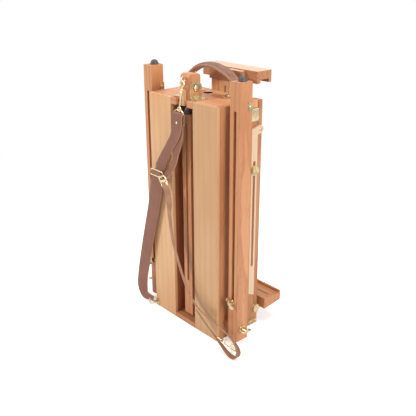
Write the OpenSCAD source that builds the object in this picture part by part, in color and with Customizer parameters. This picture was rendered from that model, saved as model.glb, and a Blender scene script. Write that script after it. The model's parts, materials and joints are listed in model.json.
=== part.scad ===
/* [Case] */
// Width across the two case sides
case_width = 230; // [224:1:250]
// Length of the case from its lower end to its drawer end
case_length = 550; // [540:1:570]
// Depth of the case sides
case_depth = 117.5; // [116.5:0.5:118]
// Thickness of the birch front panels
panel_thickness = 8; // [7:0.5:9]
// Thickness of the case sides
side_thickness = 12; // [10:0.5:12]
// Thickness of the lower end board
lower_board = 12; // [10:0.5:13]
// Thickness of the upper end board and of the drawer front
upper_board = 15; // [14:0.5:16]
// Width of the open channel that the centre leg folds into
channel_width = 74; // [70:1:80]
// Depth of the open channel
channel_depth = 44; // [44:0.5:44.5]
// Thickness of the boards that line the channel
channel_board = 8; // [6:0.5:10]
// Thickness of the base board behind the channel
base_thickness = 5; // [4:0.5:5]

/* [Drawer] */
// Length of the drawer box
drawer_length = 392; // [300:1:395]
// Thickness of the drawer side and end boards
drawer_board = 8; // [6:0.5:10]
// Thickness of the drawer bottom
drawer_bottom_thickness = 4; // [3:0.5:5]
// Height of the runners that carry the drawer clear of the leg head
runner_height = 11.7; // [11.5:0.1:12]
// Height of the drawer box
drawer_height = 54.7; // [45:0.1:55]
// Radius of the round finger hole in the drawer front
finger_hole_radius = 11; // [9:0.5:12]

/* [Handle] */
// Height of the handle strap above the drawer front
handle_rise = 67; // [64:0.5:69]
// Half of the handle strap's length
handle_half_length = 72.5; // [66:0.5:76]
// Width of the handle strap
handle_width = 33; // [26:0.5:34]
// Thickness of the handle strap
handle_thickness = 6; // [4.5:0.5:7]
// Height of the stitched ridge on the handle strap
handle_ridge = 3; // [2:0.25:3.5]
// Radius of the wire of the handle links
link_wire = 1.5; // [1.2:0.1:1.7]

/* [Side legs] */
// Thickness of each side leg
leg_thickness = 29; // [27:0.5:31]
// Depth of each side leg
leg_depth = 34; // [33:0.5:36]
// Length of the outer section of each side leg
leg_length = 593; // [580:1:596]
// Thickness of the walls of the outer leg section
leg_wall = 5.5; // [4.5:0.25:6]
// Width of the slot in the front of each side leg
leg_slot = 8; // [7:0.25:9]
// Radius of the rubber feet of the side legs
foot_radius = 9.5; // [8.5:0.5:12]
// Width of the brass band round the top of each side leg
band_width = 18; // [14:1:20]

/* [Centre leg] */
// Width of the centre leg
centre_width = 29; // [26:0.5:29]
// Depth of the upper section of the centre leg
centre_upper_depth = 15; // [13:0.5:15]
// Depth of the lower section of the centre leg
centre_lower_depth = 14.5; // [13:0.5:15]
// Width of the slot in the lower section
centre_slot = 6; // [5:0.25:8]
// Radius of the centre leg's rubber foot
centre_foot_radius = 8.5; // [8:0.5:9.5]

/* [Lid and mast] */
// Thickness of the lid stiles
lid_thickness = 12; // [11:0.5:12]
// Width of the lid stiles
stile_width = 24; // [18:1:30]
// Thickness of the lid panel
lid_panel_thickness = 8; // [6:0.5:8]
// Width of the mast board
mast_width = 40; // [30:1:50]
// Thickness of the mast board
mast_thickness = 8.7; // [7:0.1:9]
// Width of each mast guide
guide_width = 24.7; // [18:0.1:30]
// Half of the length of the canvas ledge
ledge_half_length = 131; // [110:1:135]
// Depth of the canvas ledge
ledge_depth = 56; // [45:1:60]
// Half of the length of the upper canvas clamp
clamp_half_length = 89; // [70:1:95]
// Thickness of the lid stays
stay_thickness = 4.7; // [4:0.1:5]
// Width of the lid stays
stay_width = 18; // [16:0.5:19]

/* [Harness] */
// Width of the long leather strap
strap_width = 25; // [18:0.5:27]
// Thickness of the leather straps
strap_thickness = 3.7; // [3:0.1:3.8]

/* [Hidden] */
$fn = 48;
half = case_width / 2;
channel_half = channel_width / 2;
inner_half = half - side_thickness;
base_back = channel_depth + base_thickness;
upper_z = case_length - upper_board;
run = 0.3;
seam = 0.5;
bore_gap = 0.05;

drawer_front_y = base_back + seam;
drawer_back_y = case_depth - seam;
drawer_half = inner_half - 1.5;
drawer_z = upper_z - drawer_length;
runner_width = 12;
drawer_y = base_back + runner_height + run;
drawer_inside_y = drawer_y + drawer_bottom_thickness;
finger_hole_at = [-17, case_depth - 25.5];

handle_y = case_depth - 27.5;
handle_pin_z = case_length + 3.6;
plate_x = 46;
plate_half = [6, 13];
plate_height = 1.5;
link_top = [58, case_length + 42];
strap_top_z = case_length + handle_rise;
strap_arc = 118.5;
handle_end_z = strap_top_z - 37;
ridge_half = handle_width / 3.2;

spacer_length = 16;
leg_inner = half + spacer_length;
leg_outer = leg_inner + leg_thickness;
leg_middle = (leg_inner + leg_outer) / 2;
leg_front = 20;
leg_back = leg_front + leg_depth;
leg_z = 11;
leg_top = leg_z + leg_length;
leg_pivot = [35.5, 42];
leg_bolt = 3;
spacer_radius = 15;
leg_front_wall = 7;
cavity_z = 80;
slot_bottom = 105;
slot_top = leg_top - 59;
slider_z = 84;
clamp_z = 109.5;
foot_height = 10.5;
foot_rim = 3;
band_z = leg_top - 59;
band_thickness = 1.4;

head_pivot = [28.5, case_length + 22.6];
head_bolt = 3;
head_half = centre_width / 2;
head_front = 11;
centre_back = 42;
centre_split = centre_back - centre_upper_depth;
centre_lower_front = centre_split - seam - centre_lower_depth;
head_corner = 7;
head_top = case_length + 53;
head_z = case_length - 12;
centre_z = 20;
centre_lower_top = case_length - 34;
centre_foot_height = 17;
centre_slot_z = [centre_z + 91, centre_lower_top - 21];
leaf = 1.2;
knuckle = [centre_split - seam / 2, centre_z - 3];
knuckle_radius = 2;
bracket_gap = 0.3;
bracket_plate = 2;
notch_half = head_half + bracket_gap + bracket_plate + seam;

lid_front = case_depth + 1.5;
lid_back = lid_front + lid_thickness;
lid_pivot = [lid_front + lid_thickness / 2, 43];
lid_bolt = 2.5;
stile_outer = half - run;
cheek_top = 33;
guide_inner = mast_width / 2 + run;
panel_back = lid_front + lid_panel_thickness;
mast_front = panel_back + run;
mast_back = mast_front + mast_thickness;
guide_back = mast_back + 5;
guide_bottom = 40;
guide_top = case_length + 24;
guide_lip = 5;
mast_bottom = 90;
mast_head = [52, 27];
mast_slot_half = 3;
mast_slot_z = [mast_bottom + 60, guide_top - 11];
mast_head_front = mast_front - 0.5;
mast_head_back = guide_back - 1;
clamp_depth = 44;

stay_inner = half + run;
stay_outer = stay_inner + stay_thickness;
stay_pivot = [lid_front + 3, case_length - 63];
stay_pin = 2;
stay_slot_y = case_depth - 12.5;
knob_at = [stay_slot_y, case_length - 153];
stay_slot_z = [165, case_length - 135];
stay_slot_half = 3.6;
stay_bottom = 84;

// A block given by its lowest and highest corners
module block(low, high) {
    translate(low) cube(high - low);
}

// A round bar along X, Y or Z
module bar_x(radius, x, at) {
    translate([x[0], at[0], at[1]]) rotate([0, 90, 0]) cylinder(r = radius, h = x[1] - x[0]);
}

module bar_y(radius, y, at) {
    translate([at[0], y[1], at[1]]) rotate([90, 0, 0]) cylinder(r = radius, h = y[1] - y[0]);
}

module bar_z(radius, z, at) {
    translate([at[0], at[1], z[0]]) cylinder(r = radius, h = z[1] - z[0]);
}

// A flat outline drawn in Y and Z and given its thickness along X
module plate_x(x) {
    translate([x[0], 0, 0]) rotate([90, 0, 90]) linear_extrude(x[1] - x[0]) children();
}

// A flat outline drawn in X and Z and given its thickness along Y
module plate_y(y) {
    translate([0, y[1], 0]) rotate([90, 0, 0]) linear_extrude(y[1] - y[0]) children();
}

// A flat outline drawn in X and Y and given its thickness along Z
module plate_z(z) {
    translate([0, 0, z[0]]) linear_extrude(z[1] - z[0]) children();
}

// Right-hand geometry put on the side that is asked for
module on_side(side) {
    mirror([side < 0 ? 1 : 0, 0, 0]) children();
}

module both_sides() {
    for (side = [-1, 1]) on_side(side) children();
}

// Each point of a strap's line holds its place and the strap's width there
function spot(point) = [point[0], point[1]];

function along(points, i) =
    let (a = spot(points[max(i - 1, 0)]), b = spot(points[min(i + 1, len(points) - 1)]))
    (b - a) / norm(b - a);

function edge_points(points, width, side) =
    [for (i = [0 : len(points) - 1])
        let (t = along(points, i))
        spot(points[i]) + side * points[i][2] * width / 2 * [-t[1], t[0]]];

// A line that was drawn for the usual case, fitted to this one
function fitted(points) =
    [for (p = points) [p[0] * case_width / drawn_case[0], p[1] * case_length / drawn_case[1], p[2]]];

module ribbon(points, width) {
    near = edge_points(points, width, 1);
    far = edge_points(points, width, -1);
    polygon(concat(near, [for (i = [len(far) - 1 : -1 : 0]) far[i]]));
}

// A ring of round wire that lies in the X and Z plane
module ring_y(radius, wire, at) {
    translate(at) rotate([90, 0, 0]) rotate_extrude() translate([radius, 0]) circle(r = wire);
}

// A ring of round wire that lies in the Y and Z plane
module ring_x(radius, wire, at) {
    translate(at) rotate([0, 90, 0]) rotate_extrude() translate([radius, 0]) circle(r = wire);
}

// A straight length of round wire between two points
module wire_between(a, b, wire) {
    d = b - a;
    translate(a) rotate([0, acos(d[2] / norm(d)), atan2(d[1], d[0])])
        cylinder(r = wire, h = norm(d));
}

// A dome of the given radius and height that stands on its flat face
module dome(radius, height) {
    sphere_radius = (radius * radius + height * height) / (2 * height);
    intersection() {
        translate([0, 0, height - sphere_radius]) sphere(r = sphere_radius);
        cylinder(r = radius * 1.2, h = height * 1.2);
    }
}

wing_hub = 5.5;
wing_hub_length = 9;
pivot_hub_length = 15;
wing_reach = 15;
wing_tip = 5;
wing_rise = 6.5;
wing_blade = 3;

// A wing nut's hub and its two wings, standing on its flat face
module wings(hub_length) {
    cylinder(r = wing_hub, h = hub_length);
    translate([0, wing_blade / 2, hub_length - wing_hub_length]) rotate([90, 0, 0]) linear_extrude(wing_blade)
        for (side = [-1, 1]) {
            tip = side * (wing_reach - wing_tip);
            translate([tip, wing_rise]) circle(r = wing_tip);
            polygon([[0, 1], [tip, wing_rise - wing_tip],
                [tip, wing_rise + wing_tip], [0, wing_hub_length - 1]]);
        }
}

// A slotted round brass head that stands on its flat face
module slotted_head(radius, height, slot_width) {
    difference() {
        cylinder(r = radius, h = height);
        translate([-radius - 1, -slot_width / 2, height / 2])
            cube([2 * radius + 2, slot_width, height]);
    }
}

module screw_head_y(at) {
    translate(at) rotate([90, 0, 0]) dome(screw_radius, screw_height);
}

screw_radius = 2.6;
screw_height = 1.1;

module front_panel(side) {
    on_side(side) block([channel_half, 0, 0], [half, panel_thickness, case_length]);
}

module front_panel_left() { color("burlywood") front_panel(-1); }
module front_panel_right() { color("burlywood") front_panel(1); }

// A case side with the step for the drawer front and the cheek that reaches beside the lid
module case_side(side) {
    on_side(side) difference() {
        union() {
            block([inner_half, panel_thickness, 0], [half, case_depth, case_length]);
            block([inner_half, case_depth, 0], [half, lid_back, cheek_top]);
        }
        block([inner_half - 1, base_back, upper_z - run], [half + 1, case_depth + 1, case_length + 1]);
        bar_x(leg_bolt, [inner_half - 1, half + 1], leg_pivot);
        bar_x(lid_bolt, [half - 9, half + 1], knob_at);
    }
}

module case_side_left() { color("peru") case_side(-1); }
module case_side_right() { color("peru") case_side(1); }

module channel_walls() {
    color("sandybrown") both_sides()
        block([channel_half, panel_thickness, lower_board],
            [channel_half + channel_board, channel_depth, upper_z]);
}

// The base board with the two runners on which the drawer slides
module base_board() {
    color("tan") {
        block([-inner_half, channel_depth, lower_board], [inner_half, base_back, upper_z]);
        both_sides() block([drawer_half - runner_width, base_back, lower_board],
            [drawer_half, base_back + runner_height, upper_z - run]);
    }
}

// The upper end board is notched for the head of the centre leg, with a rebate in which the keeper turns
module top_end_board() {
    color("peru") difference() {
        union() {
            block([-inner_half, panel_thickness, upper_z], [inner_half, base_back, case_length]);
            block([-channel_half, 0, upper_z], [channel_half, panel_thickness, case_length]);
        }
        block([-notch_half, -1, upper_z - 1], [notch_half, channel_depth, case_length + 1]);
        block([-keeper_reach, keeper_y[0] - keeper_gap, upper_z - 1],
            [keeper_reach, keeper_y[1] + keeper_gap, case_length + 1]);
    }
}

module bottom_end_board() {
    color("peru") {
        block([-inner_half, panel_thickness, 0], [inner_half, case_depth, lower_board]);
        block([-channel_half, 0, 0], [channel_half, panel_thickness, lower_board]);
    }
}

bracket_inner = head_half + bracket_gap;
bracket_outer = bracket_inner + bracket_plate;
bracket_flange = 38;
bracket_y = [11.5, 44];
bracket_top = case_length + 36.5;
bracket_clip = 8;
head_dome = [5.5, 3];

// Brass angles that stand on the upper end board beside the leg head
module head_brackets() {
    color("goldenrod") both_sides() difference() {
        union() {
            plate_x([bracket_inner, bracket_outer]) polygon([
                [bracket_y[0], case_length], [bracket_y[1], case_length],
                [bracket_y[1], bracket_top - bracket_clip], [bracket_y[1] - bracket_clip, bracket_top],
                [bracket_y[0] + bracket_clip, bracket_top], [bracket_y[0], bracket_top - bracket_clip]]);
            block([bracket_inner, bracket_y[0], case_length],
                [bracket_flange, bracket_y[1], case_length + bracket_plate]);
        }
        bar_x(head_bolt, [bracket_inner - 1, bracket_outer + 1], head_pivot);
    }
}

module head_pivot_bolt() {
    color("gold") {
        bar_x(head_bolt, [-bracket_outer, bracket_outer], head_pivot);
        both_sides() translate([bracket_outer, head_pivot[0], head_pivot[1]]) rotate([0, 90, 0])
            dome(head_dome[0], head_dome[1]);
    }
}

plate_screws = [[case_depth - 7.5, 9], [case_depth + 8.5, 9]];
flange_screws = [[24, 21], [33, 36]];
side_plate_thickness = 1.5;
side_plate_y = [case_depth - 16.5, case_depth + 10.5];
side_plate_z = [3, 15];

// Domed screws in the brass plates of the case
module case_screws() {
    color("gold") both_sides() {
        for (at = plate_screws)
            translate([half + side_plate_thickness, at[0], at[1]]) rotate([0, 90, 0])
                dome(screw_radius, screw_height);
        for (at = flange_screws)
            translate([at[0], at[1], case_length + bracket_plate]) dome(screw_radius, screw_height);
    }
}

// Brass plates along the lower edge of the case sides, rounded at the rear
module side_plates() {
    color("darkgoldenrod") both_sides() {
        end_radius = (side_plate_z[1] - side_plate_z[0]) / 2;
        block([half, side_plate_y[0], side_plate_z[0]],
            [half + side_plate_thickness, side_plate_y[1] - end_radius, side_plate_z[1]]);
        bar_x(end_radius, [half, half + side_plate_thickness],
            [side_plate_y[1] - end_radius, side_plate_z[0] + end_radius]);
    }
}

hinge_plate_half = 11;
hinge_plate_turn = 35;
hinge_head = [10.5, 4.5, 4];
hinge_head_turn = 45;

// Square brass plates under the heads of the lid's hinge bolts
module hinge_plates() {
    color("darkgoldenrod") both_sides() difference() {
        translate([half, lid_pivot[0], lid_pivot[1]]) rotate([hinge_plate_turn, 0, 0])
            block([0, -hinge_plate_half, -hinge_plate_half],
                [side_plate_thickness, hinge_plate_half, hinge_plate_half]);
        bar_x(lid_bolt + bore_gap, [half - 1, half + side_plate_thickness + 1], lid_pivot);
    }
}

// Large slotted bolts on which the lid turns
module hinge_bolts() {
    color("gold") both_sides() {
        bar_x(lid_bolt, [half - 14, half + side_plate_thickness], lid_pivot);
        translate([half + side_plate_thickness, lid_pivot[0], lid_pivot[1]])
            rotate([hinge_head_turn, 0, 0]) rotate([0, 90, 0])
            slotted_head(hinge_head[0], hinge_head[1], hinge_head[2]);
    }
}

catch_y = [case_depth - 21.5, case_depth];
catch_z = [upper_z - 29, upper_z + 2];
catch_bow = 60;
catch_rise = 3.5;
catch_leaf = 2;

// Bowed brass leaves that hold the drawer front shut
module catch_leaves() {
    middle = [half + catch_rise - catch_bow, (catch_z[0] + catch_z[1]) / 2];
    color("khaki") both_sides() plate_y(catch_y) intersection() {
        translate([half, catch_z[0]]) square([catch_rise + 0.5, upper_z - 1 - catch_z[0]]);
        difference() {
            translate(middle) circle(r = catch_bow, $fn = 180);
            translate(middle) circle(r = catch_bow - catch_leaf, $fn = 180);
        }
    }
}

module leg_spacers() {
    color("sienna") both_sides() difference() {
        bar_x(spacer_radius, [half, leg_inner - run], leg_pivot);
        bar_x(leg_bolt, [half - 1, leg_inner + 1], leg_pivot);
    }
}

pivot_washer = 8.5;
pivot_wing_turn = 80;

// Wing bolts that clamp the side legs to the case
module pivot_wing_bolts() {
    color("gold") both_sides() {
        bar_x(leg_bolt, [inner_half, leg_outer + 3], leg_pivot);
        bar_x(pivot_washer, [leg_outer + run, leg_outer + 2], leg_pivot);
        translate([leg_outer + 2, leg_pivot[0], leg_pivot[1]])
            rotate([pivot_wing_turn, 0, 0]) rotate([0, 90, 0]) wings(pivot_hub_length);
    }
}

ring_radius = 7;
ring_wire = 1.4;
ring_at = [half + 2.5, -9, 13];
tab_x = [half - 14, half - 1];
tab_z = [5, 21];
tab_eye = 3.4;
tab_half = 1.5;
post_at = [3.5, 9.5];
post_radius = 3.4;
post_length = 14.5;
post_eye = [half + 19, post_at[0], post_at[1]];
small_ring = 4.2;
small_wire = 1.3;

// A tab for the ring on the lower left corner and a post with an eye on the right one
module harness_tabs() {
    color("darkgoldenrod") {
        on_side(-1) {
            eye_x = ring_at[0] - ring_radius;
            block([tab_x[0], -tab_half, tab_z[0]], [tab_x[1], 0, tab_z[1]]);
            difference() {
                union() {
                    bar_z(tab_eye, [ring_at[2] - tab_half, ring_at[2] + tab_half], [eye_x, ring_at[1]]);
                    block([eye_x - tab_half, ring_at[1] + 2.2, ring_at[2] - tab_half],
                        [eye_x + tab_half, 0, ring_at[2] + tab_half]);
                }
                bar_z(ring_wire + 0.5, [ring_at[2] - 2, ring_at[2] + 2], [eye_x, ring_at[1]]);
            }
        }
        bar_x(post_radius, [half, half + post_length], post_at);
        ring_y(small_ring, small_wire, post_eye);
    }
}

link_x = [post_eye[0] + 1, post_eye[0] + 24.5];
link_half = 4;
hook_eye = [link_x[1] + 1, post_at[0], post_at[1]];
hook_shaft = 3;
hook_x = [hook_eye[0] + small_ring - 0.5, hook_eye[0] + 29];
loop_radius = 7;

// The ring on the lower left corner; on the right a long link, a small hook and the strap's ring
module harness_rings() {
    color("gold") {
        on_side(-1) ring_y(ring_radius, ring_wire, ring_at);
        for (side = [-1, 1])
            bar_x(small_wire, link_x, [post_at[0] + side * link_half, post_at[1]]);
        for (x = link_x, side = [-1, 1])
            translate([x, post_at[0] + side * link_half, post_at[1]]) sphere(r = small_wire);
        for (x = link_x)
            bar_y(small_wire, [post_at[0] - link_half, post_at[0] + link_half], [x, post_at[1]]);
        ring_y(small_ring, small_wire, hook_eye);
        bar_x(hook_shaft, hook_x, post_at);
        ring_x(loop_radius, small_wire, [hook_x[1], post_at[0] - loop_radius, post_at[1]]);
    }
}

// Case for which the straps' lines were drawn
drawn_case = [230, 550];
long_line = [[-3, 522, 1.32], [-3.5, 505, 1.32], [-6, 488, 1.24], [-15, 466, 1.12], [-28, 445, 1.08],
    [-51, 405, 1.12], [-67, 380, 1.24], [-80, 352, 1.44], [-84, 326, 1.6], [-96, 280, 1.64],
    [-107, 236, 1.64], [-126, 167, 1.68], [-143, 110, 1.6], [-153, 66, 1.48], [-156, 36, 1.36],
    [-147, 21, 1.08], [-136, 15.5, 0.6], [-127.6, 14, 0.45]];
short_line = [[-4, 490, 1], [-7, 456, 1], [-14, 420, 1], [-27, 391, 1], [-43, 364, 1], [-42, 350, 1],
    [-35, 334, 1], [-31, 312, 1], [-27, 284, 1], [-20, 240, 1], [-10, 204, 1], [10, 154, 1],
    [34, 108, 1], [58, 83, 1], [92, 68, 1], [139, 61, 1], [177, 51, 1], [200, 38, 1], [207, 24, 1],
    [203, 11, 1], [190, 5.5, 1], [172, 8, 1], [150, 18, 1], [125, 31, 1], [88, 52, 1], [66, 72, 1]];
strap_y = -8;
strap_front = strap_y - strap_thickness;
short_y = [strap_front - 12.3, strap_front - 0.6];

// The long strap runs from the ring under the hook to the ring on the lower left corner
module strap_long() {
    color("saddlebrown") plate_y([strap_front, strap_y]) ribbon(fitted(long_line), strap_width);
}

// The short strap hangs on edge and ends in a loop at the lower right corner
module strap_short() {
    color("saddlebrown") plate_y(short_y) ribbon(fitted(short_line), strap_thickness);
}

buckle_half = [17, 7];
buckle_depth = 3;
buckle_hole = [14, 1.2, 4.6];
long_buckle = [-76, 366, 1];
short_buckle = [-43, 358, 1];
buckle_slope = 22;

// A flat slide buckle with two slots, turned by the strap's slope
module slide_buckle(at, y, slope) {
    place = fitted([at])[0];
    translate([place[0], 0, place[1]]) rotate([0, slope, 0]) difference() {
        block([-buckle_half[0], y - buckle_depth, -buckle_half[1]], [buckle_half[0], y, buckle_half[1]]);
        for (side = [0, 1]) mirror([0, 0, side])
            block([-buckle_hole[0], y - buckle_depth - 1, buckle_hole[1]],
                [buckle_hole[0], y + 1, buckle_hole[2]]);
    }
}

module strap_buckles() {
    color("gold") {
        slide_buckle(long_buckle, strap_front - run, buckle_slope);
        slide_buckle(short_buckle, short_y[0] - run, 0);
    }
}

module drawer_front() {
    color("peru") difference() {
        block([-half, drawer_front_y, upper_z], [half, drawer_back_y, case_length]);
        bar_z(finger_hole_radius, [upper_z - 1, case_length + 1], finger_hole_at);
    }
}

// The drawer's two side boards and its end board
module drawer_walls() {
    color("burlywood") {
        both_sides()
            block([drawer_half - drawer_board, drawer_inside_y, drawer_z],
                [drawer_half, drawer_y + drawer_height, upper_z]);
        block([drawer_board - drawer_half, drawer_inside_y, drawer_z],
            [drawer_half - drawer_board, drawer_y + drawer_height, drawer_z + drawer_board]);
    }
}

module drawer_bottom() {
    color("tan")
        block([-drawer_half, drawer_y, drawer_z], [drawer_half, drawer_inside_y, upper_z]);
}

knuckle_outer = 3.2;
knuckle_half = 3;
plate_screw = 9;

// Brass saddle plates with the knuckles in which the handle links turn
module handle_plates() {
    color("gold") both_sides() difference() {
        union() {
            block([plate_x - plate_half[0], handle_y - plate_half[1], case_length],
                [plate_x + plate_half[0], handle_y + plate_half[1], case_length + plate_height]);
            bar_x(knuckle_outer, [plate_x - knuckle_half, plate_x + knuckle_half], [handle_y, handle_pin_z]);
            block([plate_x - knuckle_half, handle_y - knuckle_outer, case_length],
                [plate_x + knuckle_half, handle_y + knuckle_outer, handle_pin_z]);
            for (side = [-1, 1])
                translate([plate_x, handle_y + side * plate_screw, case_length + plate_height])
                    dome(screw_radius, screw_height);
        }
        bar_x(link_wire + bore_gap, [plate_x - knuckle_half - 1, plate_x + knuckle_half + 1],
            [handle_y, handle_pin_z]);
    }
}

// The handle's arched strap with its raised stitched middle
module handle_strap() {
    color("saddlebrown") intersection() {
        translate([0, 0, strap_top_z - strap_arc]) union() {
            difference() {
                bar_y(strap_arc, [handle_y - handle_width / 2, handle_y + handle_width / 2], [0, 0]);
                bar_y(strap_arc - handle_thickness,
                    [handle_y - handle_width, handle_y + handle_width], [0, 0]);
            }
            difference() {
                bar_y(strap_arc + handle_ridge, [handle_y - ridge_half, handle_y + ridge_half], [0, 0]);
                bar_y(strap_arc - 1, [handle_y - handle_width, handle_y + handle_width], [0, 0]);
            }
        }
        block([-handle_half_length, handle_y - handle_width, handle_end_z],
            [handle_half_length, handle_y + handle_width, strap_top_z + handle_ridge + 1]);
    }
}

// Single wire links between the saddle plates and the ends of the handle strap
module handle_links() {
    pin_low = [plate_x + knuckle_half + 2.5, handle_y, handle_pin_z];
    pin_end = plate_x - knuckle_half - 2;
    arm_top = [link_top[0], handle_y, link_top[1]];
    color("gold") both_sides() {
        bar_x(link_wire, [pin_end, pin_low[0]], [handle_y, handle_pin_z]);
        bar_x(link_wire + 0.4, [pin_end, pin_end + 1.5], [handle_y, handle_pin_z]);
        translate(pin_low) sphere(r = link_wire + 0.3);
        wire_between(pin_low, arm_top, link_wire);
        translate(arm_top) sphere(r = link_wire + 0.3);
        wire_between(arm_top, arm_top + [2, 0, 6], link_wire);
    }
}

leg_corner = 18;

// The outer leg section is a channel that is open at the rear, with a slot along its front
module leg_outer_section(side) {
    on_side(side) difference() {
        union() {
            block([leg_inner, leg_front, leg_z + leg_corner], [leg_outer, leg_back, leg_top]);
            block([leg_inner + leg_corner, leg_front, leg_z], [leg_outer, leg_back, leg_z + leg_corner]);
            intersection() {
                bar_y(leg_corner, [leg_front, leg_back], [leg_inner + leg_corner, leg_z + leg_corner]);
                block([leg_inner, leg_front, leg_z], [leg_inner + leg_corner, leg_back, leg_z + leg_corner]);
            }
        }
        block([leg_inner + leg_wall, leg_front + leg_front_wall, cavity_z],
            [leg_outer - leg_wall, leg_back + 1, leg_top + 1]);
        block([leg_middle - leg_slot / 2, leg_front - 1, slot_bottom],
            [leg_middle + leg_slot / 2, leg_back, slot_top]);
        bar_x(leg_bolt + bore_gap, [leg_inner - 1, leg_outer + 1], leg_pivot);
    }
}

module leg_left() { color("peru") leg_outer_section(-1); }
module leg_right() { color("peru") leg_outer_section(1); }

band_reach = 11;
band_screw = 6;

// The brass band behind the top of a leg keeps the inner section in its channel
module leg_band(side) {
    band_top = band_z + band_width;
    inside = leg_inner - band_thickness;
    on_side(side) {
        block([inside, leg_back, band_z], [leg_outer + band_thickness, leg_back + band_thickness, band_top]);
        for (x = [inside, leg_outer])
            block([x, leg_back - band_reach, band_z], [x + band_thickness, leg_back, band_top]);
        translate([inside, leg_back - band_screw, band_z + band_width / 2]) rotate([0, -90, 0])
            dome(screw_radius, screw_height);
        translate([leg_outer + band_thickness, leg_back - band_screw, band_z + band_width / 2])
            rotate([0, 90, 0]) dome(screw_radius, screw_height);
    }
}

module leg_band_left() { color("darkgoldenrod") leg_band(-1); }
module leg_band_right() { color("darkgoldenrod") leg_band(1); }

slider_front = leg_front + leg_front_wall + run;
slider_back = leg_back - run;
slider_top = leg_top + run;
clamp_bolt = 2.5;
clamp_washer = 7.5;
clamp_wing_turn = 55;

module leg_slider(side) {
    on_side(side) difference() {
        block([leg_inner + leg_wall + run, slider_front, slider_z],
            [leg_outer - leg_wall - run, slider_back, slider_top]);
        bar_y(clamp_bolt + bore_gap, [slider_front - 1, slider_back - 6], [leg_middle, clamp_z]);
    }
}

module leg_slider_left() { color("sandybrown") leg_slider(-1); }
module leg_slider_right() { color("sandybrown") leg_slider(1); }

module leg_foot(side) {
    on_side(side) translate([leg_middle, (slider_front + slider_back) / 2, slider_top]) {
        cylinder(r = foot_radius, h = foot_rim);
        translate([0, 0, foot_rim]) dome(foot_radius - 0.5, foot_height - foot_rim);
    }
}

module leg_foot_left() { color("dimgray") leg_foot(-1); }
module leg_foot_right() { color("dimgray") leg_foot(1); }

// The wing screw passes through the leg's slot into the inner section
module clamp_screw(side) {
    on_side(side) {
        bar_y(clamp_bolt, [leg_front - 1, slider_back - 8], [leg_middle, clamp_z]);
        bar_y(clamp_washer, [leg_front - 1.8, leg_front - run], [leg_middle, clamp_z]);
        translate([leg_middle, leg_front - 1.8, clamp_z])
            rotate([0, clamp_wing_turn, 0]) rotate([90, 0, 0]) wings(wing_hub_length);
    }
}

module clamp_screw_left() { color("gold") clamp_screw(-1); }
module clamp_screw_right() { color("gold") clamp_screw(1); }

// The upper section carries the rounded head that turns between the brackets
module centre_leg_upper() {
    color("peru") difference() {
        union() {
            block([-head_half, centre_split, centre_z], [head_half, centre_back, head_z]);
            block([-head_half, head_front, head_z], [head_half, centre_back, head_top - head_corner]);
            block([-head_half, head_front + head_corner, head_z],
                [head_half, centre_back - head_corner, head_top]);
            for (y = [head_front + head_corner, centre_back - head_corner])
                bar_x(head_corner, [-head_half, head_half], [y, head_top - head_corner]);
        }
        bar_x(head_bolt + bore_gap, [-head_half - 1, head_half + 1], head_pivot);
    }
}

leaf_half = 12;
barrel_half = 5;
hinge_pin = 0.8;

// Brass hinge leaf and barrel on the lower end of the upper section
module centre_hinge() {
    color("goldenrod") difference() {
        union() {
            block([-leaf_half, knuckle[0], centre_z - leaf], [leaf_half, centre_back - 2, centre_z]);
            bar_x(knuckle_radius, [-barrel_half, barrel_half], knuckle);
            block([-barrel_half, knuckle[0] - 0.4, knuckle[1]], [barrel_half, knuckle[0] + 0.8, centre_z]);
        }
        bar_x(hinge_pin + bore_gap, [-barrel_half - 1, barrel_half + 1], knuckle);
        for (side = [0, 1]) mirror([side, 0, 0])
            block([barrel_half, knuckle[0] - 1, knuckle[1]],
                [leaf_half + 1, knuckle[0] + knuckle_radius, centre_z + 1]);
    }
}

lower_back = centre_split - seam;

// The slotted lower section folds up in front of the upper one
module centre_leg_lower() {
    color("sandybrown") difference() {
        block([-head_half, centre_lower_front, centre_z], [head_half, lower_back, centre_lower_top]);
        block([-centre_slot / 2, centre_lower_front - 1, centre_slot_z[0]],
            [centre_slot / 2, lower_back + 1, centre_slot_z[1]]);
    }
}

// Second hinge leaf with its outer barrels and pin
module centre_hinge_leaf() {
    barrel = leaf_half - barrel_half - run;
    color("goldenrod") {
        block([-leaf_half, centre_lower_front + 2, centre_z - leaf], [leaf_half, lower_back - 0.6, centre_z]);
        bar_x(hinge_pin, [-leaf_half, leaf_half], knuckle);
        for (x = [-leaf_half, barrel_half + run]) {
            bar_x(knuckle_radius, [x, x + barrel], knuckle);
            block([x, knuckle[0] - 2, knuckle[1]], [x + barrel, knuckle[0] - 0.4, centre_z - leaf / 2]);
        }
    }
}

// Offset that brings the foot clear of the upper section
foot_y = lower_back - 0.4 - centre_foot_radius;
centre_foot_rim = 5;

module centre_foot() {
    color("dimgray") translate([0, foot_y, centre_lower_top]) {
        cylinder(r = centre_foot_radius, h = centre_foot_rim);
        translate([0, 0, centre_foot_rim])
            dome(centre_foot_radius - 0.5, centre_foot_height - centre_foot_rim);
    }
}

keeper_pivot = [-1.5, case_length + 15];
keeper_y = [5.7, 10.7];
keeper_bottom = centre_lower_top + centre_foot_height + 2;
keeper_half = 5.5;
keeper_gap = 0.5;
keeper_reach = keeper_pivot[1] - keeper_bottom + keeper_half - keeper_pivot[0];

// Turn button on the front of the leg head
module keeper() {
    color("burlywood") {
        plate_y(keeper_y) {
            translate(keeper_pivot) circle(r = keeper_half);
            translate([keeper_pivot[0] - keeper_half, keeper_bottom])
                square([2 * keeper_half, keeper_pivot[1] - keeper_bottom]);
        }
        translate([keeper_pivot[0], keeper_y[0], keeper_pivot[1]]) rotate([90, 0, 0])
            dome(screw_radius, screw_height);
    }
}

eye_at = [3, 3.5, case_length + 42];
eye_radius = 5.2;
eye_shank = 1.6;
hook_wire = 1.3;

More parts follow.
